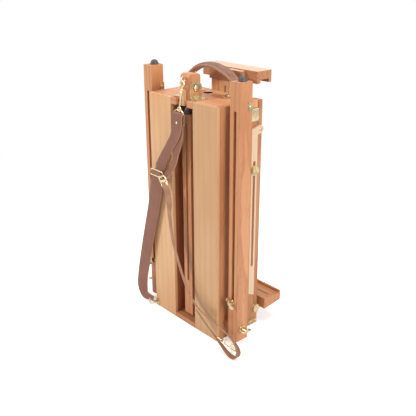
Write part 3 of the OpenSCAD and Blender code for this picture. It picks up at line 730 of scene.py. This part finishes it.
@dataclass
class Brasses:
    """Brass plates and bolts whose solids already have their shape."""

    plain: tuple[str, ...] = (
        "head_brackets", "head_pivot_bolt", "case_screws", "hinge_bolts", "pivot_wing_bolts", "harness_tabs",
        "handle_plates", "handle_links", "leg_band_left", "leg_band_right", "clamp_screw_left",
        "clamp_screw_right", "centre_hinge", "centre_hinge_leaf", "screw_eye", "stay_pivots",
        "stay_knob_left", "stay_knob_right",
    )
    old: tuple[str, ...] = ("side_plates", "hinge_plates")
    cream: tuple[str, ...] = ("catch_leaves",)
    winged: tuple[str, ...] = ("pivot_wing_bolts", "clamp_screw_left", "clamp_screw_right")

    wing_edge: tuple[float, int] = (0.9, 3)
    plate_edge: tuple[float, int] = (0.35, 2)
    head_inset: float = 3
    # Outline of the dark ring of painted shade under each dome: pairs of radius and height.
    shade_ring: tuple[tuple[float, float], ...] = ((7.6, 0), (7.6, 0.5), (6.4, 0.8))
    dome_radius: float = 6.6
    dome_foot: float = 0.8
    dome_rise: float = 2.2

    def build(self, finishes: Finishes) -> None:
        """Round and finish each brass piece.

        Args:
            finishes: The shared finishes.
        """
        for names, finish in (
            (self.plain, finishes.brass), (self.old, finishes.old_brass), (self.cream, finishes.cream_brass),
        ):
            for node in names:
                width, parts = self.wing_edge if node in self.winged else self.plate_edge
                attach(softened(node, finish, width, parts), BODY_OF[node], "brass", node)
        self.bolt_heads(finishes)

    def bolt_heads(self, finishes: Finishes) -> None:
        """Lay a dome on both ends of the head pivot bolt, each over a dark ring that paints shade and a dark
        reflection.

        Args:
            finishes: The shared finishes.
        """
        low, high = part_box("head_pivot_bolt")
        across, up = (low.y + high.y) / 2 / MM, (low.z + high.z) / 2 / MM
        turns = [math.radians(a) for a in range(0, 90, 9)]
        cap = [(self.dome_radius * math.cos(a), self.dome_foot + self.dome_rise * math.sin(a)) for a in turns]
        dome = [(self.dome_radius, self.dome_foot / 2), *cap, (0, self.dome_foot + self.dome_rise)]
        shade_rings, domes = bmesh.new(), bmesh.new()
        for side, edge in ((-1, low.x / MM + self.head_inset), (1, high.x / MM - self.head_inset)):
            for mesh, profile in ((shade_rings, self.shade_ring), (domes, dome)):
                turned(mesh, profile, (edge, across, up), (side, 0, 0), 32)
        body = BODY_OF["head_pivot_bolt"]
        attach(mesh_piece("head_bolt_shade_rings", shade_rings, finishes.shadow), body, "brass")
        attach(mesh_piece("head_bolt_domes", domes, finishes.cream_brass), body, "brass")


@dataclass
class Feet:
    """Rubber feet on the ends of the three legs."""

    side_radius: float = 9.5
    side_height: float = 10.5
    centre_radius: float = 8.5
    centre_height: float = 17.0
    lip: float = 3.3

    def profile(self, radius: float, height: float) -> list[tuple[float, float]]:
        """Return the outline of a foot with a rim, a groove and a dome.

        Args:
            radius: The foot's radius.
            height: The foot's height.

        Returns:
            Pairs of radius and height.
        """
        rim = [(radius - 0.4, 0), (radius, 0.4), (radius, 2.4), (radius - 0.5, 3.0), (radius - 0.9, self.lip)]
        rise = height - self.lip
        turns = [math.radians(a) for a in range(8, 91, 8)]
        dome = [((radius - 0.9) * math.cos(a), self.lip + rise * math.sin(a)) for a in turns]
        return [*rim, *dome, (0, height)]

    def build(self, finishes: Finishes) -> None:
        """Make the three feet.

        Args:
            finishes: The shared finishes.
        """
        for node, radius, height in (
            ("leg_foot_left", self.side_radius, self.side_height),
            ("leg_foot_right", self.side_radius, self.side_height),
            ("centre_foot", self.centre_radius, self.centre_height),
        ):
            low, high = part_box(node)
            base = ((low.x + high.x) / 2 / MM, (low.y + high.y) / 2 / MM, low.z / MM)
            mesh = bmesh.new()
            turned(mesh, self.profile(radius, height), base, (0, 0, 1))
            attach(mesh_piece(f"{node}_piece", mesh, finishes.rubber), BODY_OF[node], "rubber", node)


@dataclass(frozen=True)
class Station:
    """One place on a strap, in millimetres: its middle, its width and the way across its face."""

    at: Point
    width: float
    across: Point = (1, 0, 0)


@dataclass
class Strap:
    """A leather strap along a line of stations."""

    name: str
    stations: Sequence[Station]
    thickness: float = 2.8
    steps: int = 8
    stitched: bool = True
    lined: bool = False

    def rows(self) -> list[tuple[Vector, Vector, Vector, float]]:
        """Work out each step of the strap.

        Returns:
            The middle, the way across, the way out and the width at each step.
        """
        keys = [Vector((*s.at, s.width, *Vector(s.across).normalized())) for s in self.stations]
        line = smooth_path(keys, self.steps)
        rows = []
        for i, key in enumerate(line):
            after, before = line[min(i + 1, len(line) - 1)], line[max(i - 1, 0)]
            along = Vector(after[:3]) - Vector(before[:3])
            along.normalize()
            across = Vector(key[4:7])
            across -= along * across.dot(along)
            across.normalize()
            rows.append((Vector(key[:3]), across, across.cross(along), key[3]))
        return rows

    def section(self, width: float) -> list[tuple[float, float, int]]:
        """Work out the outline of the strap's section.

        Args:
            width: The strap's width.

        Returns:
            Places across and out, with the slot of each face.
        """
        half, out = width / 2, self.thickness / 2
        rim, crown = (half - 0.9, out * 0.92), (half * 0.6, out)
        top = [(-rim[0], rim[1]), (-crown[0], crown[1]), (0, out * 1.04), crown, rim]
        side = [(half - 0.2, out * 0.55), (half, 0), (half - 0.2, -out * 0.55)]
        low = [(-u, -v) for u, v in top]
        other = [(-u, -v) for u, v in side]
        slots = [0] * 4 + [1] * 4 + [1 if self.lined else 0] * 4 + [1] * 4
        return [(u, v, s) for (u, v), s in zip([*top, *side, *low, *other], slots)]

    def build(self, finishes: Finishes) -> bpy.types.Object:
        """Make the strap with its cut edges and its seams.

        Args:
            finishes: The shared finishes.

        Returns:
            The strap.
        """
        mesh = bmesh.new()
        rings, slots = [], []
        rows = self.rows()
        for middle, across, out, width in rows:
            outline = self.section(width)
            slots = [slot for _, _, slot in outline]
            rings.append([(middle + across * u + out * v) * MM for u, v, _ in outline])
        skin(mesh, rings, False, slots)
        if self.stitched:
            self.stitch(mesh, rows)
        return mesh_piece(f"{self.name}_piece", mesh, finishes.leather, finishes.edge, finishes.thread)

    def stitch(self, mesh: bmesh.types.BMesh, rows: Sequence[tuple[Vector, Vector, Vector, float]],
               pitch: float = 4.6, length: float = 3.0, inset: float = 2.6, radius: float = 0.32) -> None:
        """Sew a row of stitches along both edges of the outer face.

        Args:
            mesh: The strap's mesh.
            rows: The strap's steps.
            pitch: Distance from stitch to stitch.
            length: Length of a stitch.
            inset: Distance from the strap's edge.
            radius: Thickness of the thread.
        """
        for side in (-1, 1):
            line = [m + a * side * (w / 2 - inset) + o * self.thickness * 0.5 for m, a, o, w in rows]
            way = 0.0
            due = pitch
            for a, b in zip(line, line[1:]):
                gap = (b - a).length
                while gap > 1e-6 and due <= way + gap:
                    at = a.lerp(b, (due - way) / gap)
                    ahead = (b - a).normalized() * length / 2
                    line_of_thread = [at - ahead, at - ahead * 0.5, at + ahead * 0.5, at + ahead]
                    tube(mesh, line_of_thread, radius, sides=6, slot=2)
                    due += pitch
                way += gap


@dataclass
class Harness:
    """The shoulder straps with their buckles, rings and hooks."""

    finishes: Finishes
    long_strap: tuple[Station, ...] = (
        Station((-3, -3.4, 494), 33),
        Station((-3, -3.3, 512), 33),
        Station((-3, -4.4, 520.4), 33),
        Station((-3, -6.4, 521.9), 33),
        Station((-3, -8.6, 519.6), 33.5),
        Station((-3.5, -9.6, 505), 33.5),
        Station((-5, -10, 488), 31, (1, 0.02, 0.05)),
        Station((-13, -10.6, 466), 27, (1, 0.05, 0.3)),
        Station((-27, -11.6, 445), 23.5, (1, 0.1, 0.5)),
        Station((-54, -12.6, 405), 25, (1, 0.12, 0.52)),
        Station((-66.5, -12.6, 383), 29, (1, 0.12, 0.42)),
        Station((-70.5, -14.2, 376.5), 31, (1, 0.1, 0.3)),
        Station((-73.5, -18.4, 370), 33, (1, 0.1, 0.16)),
        Station((-76.5, -14.2, 362.5), 34, (1, 0.1, 0.16)),
        Station((-79.5, -12.6, 353), 36, (1, 0.1, 0.2)),
        Station((-84.5, -12.4, 326), 39, (1, 0.1, 0.2)),
        Station((-96, -12, 280), 37, (1, 0.1, 0.24)),
        Station((-108.5, -12, 238), 36, (1, 0.1, 0.25)),
        Station((-129, -12, 167), 36, (1, 0.1, 0.26)),
        Station((-144, -12, 112), 35.5, (1, 0.1, 0.2)),
        Station((-154, -12, 70), 35, (1, 0.1, 0.12)),
        Station((-157, -12, 42), 36, (1, 0.12, 0.12)),
        Station((-151, -12, 25), 32, (0.9, 0.12, 0.45)),
        Station((-139, -11.6, 20), 23, (0.55, 0.1, 0.85)),
        Station((-127, -11, 21), 17, (0.15, 0, 1)),
        Station((-116, -8.5, 19), 15, (0.0, 0, 1)),
    )
    fork: tuple[Station, ...] = (
        Station((-3.5, -4.4, 500), 31),
        Station((-4, -6, 486), 31),
        Station((-7.5, -7.4, 457), 31, (1, 0.1, 0)),
        Station((-12, -8, 428), 22, (1, -0.1, 0.1)),
        Station((-15.5, -10, 408), 20, (1, -0.1, 0.3)),
        Station((-26, -13, 388), 22, (1, -0.1, 0.6)),
        Station((-40, -15.4, 370), 24, (1, 0, 0.7)),
        Station((-46, -17, 360), 20, (1, 0, 0.6)),
    )
    short_strap: tuple[Station, ...] = (
        Station((-47, -17.4, 362), 17, (1, 0.1, 0.5)),
        Station((-41, -19, 349), 18, (1, 0.05, 0.4)),
        Station((-32, -19, 332), 19, (1, 0.05, 0.25)),
        Station((-29, -18, 310), 19, (1, 0.02, 0.2)),
        Station((-30, -17, 284), 18, (0.94, -0.24, 0.28)),
        Station((-24.5, -16.4, 240), 17, (0.9, -0.34, 0.34)),
        Station((-15.5, -16.4, 204), 16, (0.9, -0.34, 0.36)),
        Station((6, -16.4, 154), 15.5, (0.88, -0.36, 0.4)),
        Station((32, -16.6, 108), 15, (0.86, -0.38, 0.45)),
        Station((58, -17, 83), 13, (0.8, -0.45, 0.5)),
        Station((92, -17, 68), 12, (0.6, -0.6, 0.6)),
        Station((139, -17.4, 61), 12, (0.5, -0.7, 0.6)),
        Station((177, -18, 51), 13, (0.5, -0.75, 0.5)),
        Station((200, -19, 38), 15, (0.35, -0.9, 0.3)),
        Station((206, -19, 24), 16, (0.2, -1, 0.1)),
        Station((202, -19, 11), 16, (0.1, -1, 0)),
        Station((190, -19, 4), 16, (0, -1, 0.1)),
        Station((172, -19, 7), 15, (0.1, -1, 0.3)),
        Station((150, -18.6, 18), 14, (0.3, -0.9, 0.5)),
        Station((125, -18, 31), 13, (0.5, -0.7, 0.6)),
        Station((88, -17.4, 52), 12, (0.7, -0.5, 0.55)),
        Station((66, -20, 72), 11, (0.8, -0.5, 0.5)),
    )

    def straps(self) -> None:
        """Hang the long strap, its fork and the short strap."""
        long_strap = Strap("strap_long", self.long_strap).build(self.finishes)
        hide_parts("strap_long")
        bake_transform(long_strap)
        fork = Strap("strap_fork", self.fork).build(self.finishes)
        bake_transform(fork)
        short = Strap("strap_short", self.short_strap, 3.0, lined=True).build(self.finishes)
        attach(short, "case", "leather", "strap_short")

    def fasten(self, name: str, mesh: bmesh.types.BMesh, body: str, *nodes: str) -> None:
        """Finish a brass piece of the harness and let it ride on a body.

        Args:
            name: The piece's name.
            mesh: The built mesh.
            body: The body that it moves with.
            nodes: Solids that it replaces.
        """
        attach(mesh_piece(name, mesh, self.finishes.cream_brass), body, "brass", *nodes)

    def bar(self, mesh: bmesh.types.BMesh, middle: Point, across: Vector, half: float, wire: float,
            sides: int) -> None:
        """Lay the cross bar of a buckle.

        Args:
            mesh: The mesh that gets the bar.
            middle: The bar's middle.
            across: The way along it.
            half: Half its length.
            wire: The bar's radius.
            sides: Faces round it.
        """
        reach = across.normalized() * half
        tube(mesh, [Vector(middle) - reach, Vector(middle) + reach], wire, sides=sides)

    def wire_frame(self, mesh: bmesh.types.BMesh, at: Point, across: Point, up: Point,
                   size: tuple[float, float], wire: float, corner: float) -> None:
        """Bend a wire into a rectangle with round corners.

        Args:
            mesh: The mesh that gets the wire.
            at: The rectangle's middle.
            across: The way along its first side.
            up: The way along its second side.
            size: Half of each side.
            wire: The wire's radius.
            corner: Radius of the corners.
        """
        u, v = Vector(across).normalized(), Vector(up).normalized()
        path = []
        for su, sv, start in ((1, 1, 0), (-1, 1, 90), (-1, -1, 180), (1, -1, 270)):
            centre = Vector(at) + u * su * (size[0] - corner) + v * sv * (size[1] - corner)
            path.extend(arc(centre, corner, start, start + 90, 6, u, v))
        tube(mesh, path, wire, True, 10)

    def buckles(self) -> None:
        """Make the two slide buckles."""
        mesh = bmesh.new()
        across, up = Vector((1, 0.05, -0.03)), Vector((0.12, 0, 1))
        self.wire_frame(mesh, (-73.5, -17.2, 370), across, up, (20, 7), 1.35, 2.0)
        self.bar(mesh, (-73.5, -15.2, 370), across, 19, 1.2, 10)
        across, up = Vector((1, 0.05, 0.35)), Vector((-0.35, -0.2, 1))
        self.wire_frame(mesh, (-45, -19.6, 358), across, up, (11, 12.5), 1.7, 3.5)
        self.bar(mesh, (-45, -20.4, 360), across, 10.5, 2.4, 14)
        self.wire_frame(mesh, (-43.5, -20.4, 352), across, up, (8.5, 5), 1.1, 2.5)
        self.fasten("strap_buckles_piece", mesh, "case", "strap_buckles")

    def rivets(self) -> None:
        """Set the rivet that closes the loop at the top of the straps."""
        mesh = bmesh.new()
        head = [(2.6, 0), (2.9, 0.3), (2.6, 0.9), (1.6, 1.5), (0, 1.8)]
        turned(mesh, head, (-4, -10.8, 500), (0, -1, 0), 20)
        self.fasten("strap_rivet", mesh, "centre_leg")

    def snap(self, mesh: bmesh.types.BMesh, at: Point, up: Point, across: Point) -> None:
        """Make a snap hook: bent hook, sprung gate with its thumb knob, collar and swivel.

        Args:
            mesh: The mesh that gets the hook.
            at: The middle of the hook's bend.
            up: The way from the swivel to the bend.
            across: The way across the hook.
        """
        u, v = Vector(across).normalized(), Vector(up).normalized()
        side = u.cross(v)
        centre = Vector(at)
        bend = arc(centre, 6.2, -60, 205, 26, u, v)
        tail = [centre - v * 9.5 + u * 1.2, centre - v * 13]
        tube(mesh, [*reversed(bend), *tail], lambda share: 1.45 + 0.75 * share, sides=12)
        gate = [centre - v * 8.5 - u * 1.5, centre - v * 5.5 - u * 3.6, centre - v * 1.5 - u * 5.4]
        tube(mesh, gate, 1.0, sides=10)
        thumb = centre - v * 5.2 - u * 3.8 + side * 0.2
        turned(mesh, [(1.1, 0), (1.1, 2.2), (1.9, 2.8), (1.9, 3.8), (1.2, 4.4)], thumb, -u - v * 0.3, 16)
        collar = [(1.6, 0), (3.0, 0.6), (3.3, 1.8), (3.0, 3.0), (2.2, 3.4), (2.2, 4.2), (3.2, 5), (3.6, 7),
                  (3.2, 9), (2.3, 9.8), (2.3, 11), (3.4, 11.8), (3.6, 13.2), (3.2, 14.6), (1.4, 15.4)]
        turned(mesh, collar, centre - v * 11.5, -v, 28)

    def hook(self) -> None:
        """Make the hook and the ring at the head of the centre leg."""
        mesh = bmesh.new()
        self.snap(mesh, (3, 1.2, 583.5), (0.08, 0.08, 1), (1, 0, -0.08))
        self.fasten("snap_hook_piece", mesh, "centre_leg", "snap_hook")
        mesh = bmesh.new()
        top = Vector((-1.5, -3.5, 530.5))
        shaft = [Vector((0.6, -1.2, 558)), Vector((0, -1.8, 550)), Vector((-0.8, -2.8, 540)), top]
        tube(mesh, shaft, 2.3, sides=12)
        eye = [top + Vector(p) for p in (
            (-5.5, -1, -2), (-4.2, -0.5, 1.4), (0, 0, 3.2), (4.2, -0.5, 1.4), (5.5, -1, -2),
            (3.4, -1.4, -5.2), (-3.4, -1.4, -5.2),
        )]
        tube(mesh, smooth_path([*eye, eye[0]], 4)[:-1], 1.3, True, 10)
        low = Vector((-2.5, -6.4, 518.8))
        arch = arc(low + Vector((0, 0.6, 0.6)), 15.5, 8, 172, 22, (1, 0, 0), (0, 0.16, 0.55))
        half = Vector((14.5, 0, 0))
        tube(mesh, [*arch, low - half, low, low + half], 1.45, True, 12)
        self.fasten("strap_ring_piece", mesh, "centre_leg", "strap_ring")

    def corner_rings(self) -> None:
        """Make the rings on the lower corners and the hook on the right one."""
        mesh = bmesh.new()
        left = arc((-123, -10, 11.5), 8.0, 0, 348, 30, (0.8, 0.35, 0.1), (0, 0.1, 1))
        tube(mesh, left, 1.6, True, 12)
        self.wire_frame(mesh, (147, 3.5, 9.5), (1, 0, -0.03), (0, 0.7, 0.7), (11, 4.6), 1.4, 4)
        self.snap(mesh, (192, -3.5, 9.5), (1, -0.1, 0), (0, 0.6, 1))
        tube(mesh, arc((162.5, 3.4, 9.5), 4.2, 0, 345, 20, (1, 0, 0), (0, 0.5, 0.9)), 1.3, True, 10)
        self.fasten("harness_rings_piece", mesh, "case", "harness_rings")

    def build(self) -> None:
        """Make the whole harness."""
        self.straps()
        self.buckles()
        self.rivets()
        self.hook()
        self.corner_rings()


@dataclass
class Handle:
    """The arched leather handle with its padded, stitched middle."""

    finishes: Finishes
    half_length: float = 72.5
    half_width: float = 16.5
    end_half_width: float = 12.5
    arc_radius: float = 118.5
    top: float = 617.0
    middle_y: float = 90.0
    sheet: float = 3.4
    pad: float = 5.4
    pad_share: float = 0.46
    thickness: float = 6
    steps: int = 56
    stitches: int = 34
    seams: tuple[float, float] = (0.68, 0.88)

    def place(self, turn: float, across: float, out: float) -> Vector:
        """Return a point of the handle.

        Args:
            turn: Angle from the middle of the arch.
            across: Distance from its middle line.
            out: Distance outside the underside.

        Returns:
            The point in millimetres.
        """
        reach = self.arc_radius - self.thickness + out
        return Vector((reach * math.sin(turn), self.middle_y + across,
                       self.top - self.arc_radius + reach * math.cos(turn)))

    def width(self, share: float) -> float:
        """Return half the width, which narrows towards the ends."""
        ease = min(max((abs(share) - 0.55) / 0.45, 0), 1)
        return self.half_width + (self.end_half_width - self.half_width) * ease * ease * (3 - 2 * ease)

    def height(self, share: float, across: float) -> float:
        """Work out the height of the upper face over the underside.

        Args:
            share: Share of the way from the middle to an end.
            across: Share of the half width.

        Returns:
            The height.
        """
        rise = min(max((self.pad_share - abs(across)) / 0.12, 0), 1)
        fade = min(max((0.92 - abs(share)) / 0.12, 0), 1)
        crown = max(1 - 0.3 * (across / self.pad_share) ** 2, 0)
        dip = max(1 - abs(abs(across) - self.pad_share - 0.06) / 0.06, 0) * 1.1
        lift = self.pad * rise * rise * (3 - 2 * rise) * fade * fade * (3 - 2 * fade) * crown
        return self.sheet + lift - dip * (1 if abs(share) < 0.95 else 0)

    def build(self) -> None:
        """Make the handle and its stitches."""
        mesh = bmesh.new()
        side = [0.1, 0.2, 0.3, 0.34, 0.38, 0.42, 0.46, 0.49, 0.52, 0.55, 0.58, 0.64, 0.75, 0.86, 0.94, 1]
        marks = [*(-m for m in reversed(side)), 0, *side]
        reach = math.asin(self.half_length / self.arc_radius)
        rings = []
        for i in range(self.steps + 1):
            share = 2 * i / self.steps - 1
            wide = self.width(share)
            ring = [self.place(reach * share, m * wide, self.height(share, m)) for m in marks]
            ring[0] = self.place(reach * share, -wide, self.sheet * 0.7)
            ring[-1] = self.place(reach * share, wide, self.sheet * 0.7)
            low = [self.place(reach * share, m * wide, 0.0) for m in reversed(marks[1:-1])]
            under = [self.place(reach * share, wide, self.sheet * 0.3), *low,
                     self.place(reach * share, -wide, self.sheet * 0.3)]
            rings.append([p * MM for p in [*ring, *under]])
        top_faces = len(marks) - 1
        slots = [0] * top_faces + [1] * (len(rings[0]) - top_faces)
        # Faces along the pad's edges take the lighter edge leather: painted highlight lines for the lit sides
        # of the ridges.
        for i, (a, b) in enumerate(zip(marks, marks[1:])):
            if 0.48 < abs(a + b) / 2 < 0.54:
                slots[i] = 1
        skin(mesh, rings, False, slots)
        for side in (-1, 1):
            for row in self.seams:
                self.seam(mesh, reach, side * row)
        leathers = (self.finishes.handle, self.finishes.edge, self.finishes.thread)
        piece = mesh_piece("handle_strap_piece", mesh, *leathers)
        attach(piece, "handle", "leather", "handle_strap")

    def seam(self, mesh: bmesh.types.BMesh, reach: float, across: float) -> None:
        """Sew a row of stitches along the handle.

        Args:
            mesh: The handle's mesh.
            reach: Angle of the handle's ends.
            across: Share of the half width at which the row runs.
        """
        count = self.stitches
        for i in range(count):
            share = (2 * i + 1) / count - 1
            if abs(share) > 0.95:
                continue
            wide = self.width(share) * across
            ends = [share - 0.62 / count, share - 0.3 / count, share + 0.3 / count, share + 0.62 / count]
            line = [self.place(reach * s, wide, self.height(s, across) + 0.1) for s in ends]
            tube(mesh, line, 0.42, sides=6, slot=2)


@dataclass
class Studio:
    """Camera, floor and lamps."""

    camera_at: tuple[float, float, float] = (1.0466, -0.8469, 0.8331)
    azimuth: float = 0.8483756
    elevation: float = 0.3770477
    roll: float = -0.0030781
    focal: float = 54.9
    floor_half: float = 60.0
    floor_glow: float = 0.42
    fade: tuple[float, float] = (0.5, 2.6)
    surround: float = 0.42
    aim: tuple[float, float, float] = (0, 0, 0.3)
    lamps: tuple[tuple[str, tuple[float, float, float], float, float], ...] = (
        ("key", (-1.3, -2.0, 1.8), 0.45, 38),
        ("side", (2.6, -0.2, 1.2), 1.0, 42),
        ("top", (0.2, 0.3, 2.6), 1.0, 28),
    )

    def camera(self) -> None:
        """Put the camera where the photograph was taken from."""
        data = bpy.data.cameras.new("camera")
        data.lens = self.focal
        data.sensor_width = 36
        data.clip_end = 50
        camera = bpy.data.objects.new("camera", data)
        ahead = Vector((
            -math.sin(self.azimuth) * math.cos(self.elevation),
            math.cos(self.azimuth) * math.cos(self.elevation),
            -math.sin(self.elevation),
        ))
        right = Vector((math.cos(self.azimuth), math.sin(self.azimuth), 0))
        up = right.cross(ahead)
        tilted = right * math.cos(self.roll) + up * math.sin(self.roll)
        raised = up * math.cos(self.roll) - right * math.sin(self.roll)
        turn = Matrix((tilted, raised, -ahead)).transposed().to_4x4()
        camera.matrix_world = Matrix.Translation(self.camera_at) @ turn
        bpy.context.scene.collection.objects.link(camera)
        bpy.context.scene.camera = camera

    def floor(self) -> None:
        """Lay a pale floor that keeps the object's shadow."""
        mesh = bmesh.new()
        bmesh.ops.create_grid(mesh, x_segments=8, y_segments=8, size=self.floor_half)
        graph = Surface("floor")
        paper = graph.noise(graph.join(*graph.place()), 40, 2)
        graph.finish({
            "Base Color": graph.blend(paper * 0.3, (0.92, 0.92, 0.92, 1), (0.88, 0.88, 0.88, 1)),
            "Roughness": 0.9,
        })
        piece = mesh_piece("floor", mesh, graph.material)
        plain = Socket(graph, graph.shader.outputs[0])
        seen = graph.node("ShaderNodeLightPath", {}, {}, "Is Camera Ray")
        glow = self.light(graph, "ShaderNodeEmission", self.floor_glow)
        lit = graph.node("ShaderNodeAddShader", {}, {0: plain, 1: glow})
        near = graph.node("ShaderNodeMixShader", {}, {0: seen, 1: plain, 2: lit})
        across, along, _ = graph.place()
        far = (across * across + along * along).ramp(*self.fade)
        blank = self.light(graph, "ShaderNodeEmission", 1.0)
        faded = graph.node("ShaderNodeMixShader", {}, {0: seen * far, 1: near, 2: blank})
        graph.feed(graph.end, faded)

    def light(self, graph: Graph, kind: str, strength: float) -> Socket:
        """Return a white Emission or Background node of some strength."""
        return graph.node(kind, {}, {"Color": WHITE, "Strength": strength})

    def world(self) -> None:
        """Make a soft white surround that is pure white to the camera."""
        world = bpy.data.worlds.new("surround")
        bpy.context.scene.world = world
        graph = Graph(world, "ShaderNodeOutputWorld")
        glossy = graph.node("ShaderNodeLightPath", {}, {}, "Is Glossy Ray")
        seen = graph.node("ShaderNodeLightPath", {}, {}, "Is Camera Ray").apply("MAXIMUM", glossy)
        dim, bright = (self.light(graph, "ShaderNodeBackground", s) for s in (self.surround, 1.0))
        graph.feed(graph.end, graph.node("ShaderNodeMixShader", {}, {0: seen, 1: dim, 2: bright}))

    def lamp(self, name: str, at: Point, size: float, power: float) -> None:
        """Add a soft square lamp that points at the object.

        Args:
            name: The lamp's name.
            at: Where it hangs, in metres.
            size: Its side in metres.
            power: Its power in watts.
        """
        data = bpy.data.lights.new(name, "AREA")
        data.size = size
        data.energy = power
        lamp = bpy.data.objects.new(name, data)
        lamp.location = at
        lamp.rotation_mode = "QUATERNION"
        lamp.rotation_quaternion = (Vector(self.aim) - Vector(at)).to_track_quat("-Z", "Y")
        bpy.context.scene.collection.objects.link(lamp)

    def build(self) -> None:
        """Set up the camera, the floor and the light."""
        self.camera()
        self.floor()
        self.world()
        for lamp in self.lamps:
            self.lamp(*lamp)
        bpy.context.scene.view_settings.view_transform = "Standard"


def main() -> None:
    """Build the scene, class by class."""
    logging.basicConfig(level=logging.INFO, format="%(message)s")
    Studio().build()
    finishes = Finishes()
    Boards().build()
    Brasses().build(finishes)
    Feet().build(finishes)
    Harness(finishes).build()
    Handle(finishes).build()


if __name__ == "__main__":
    main()
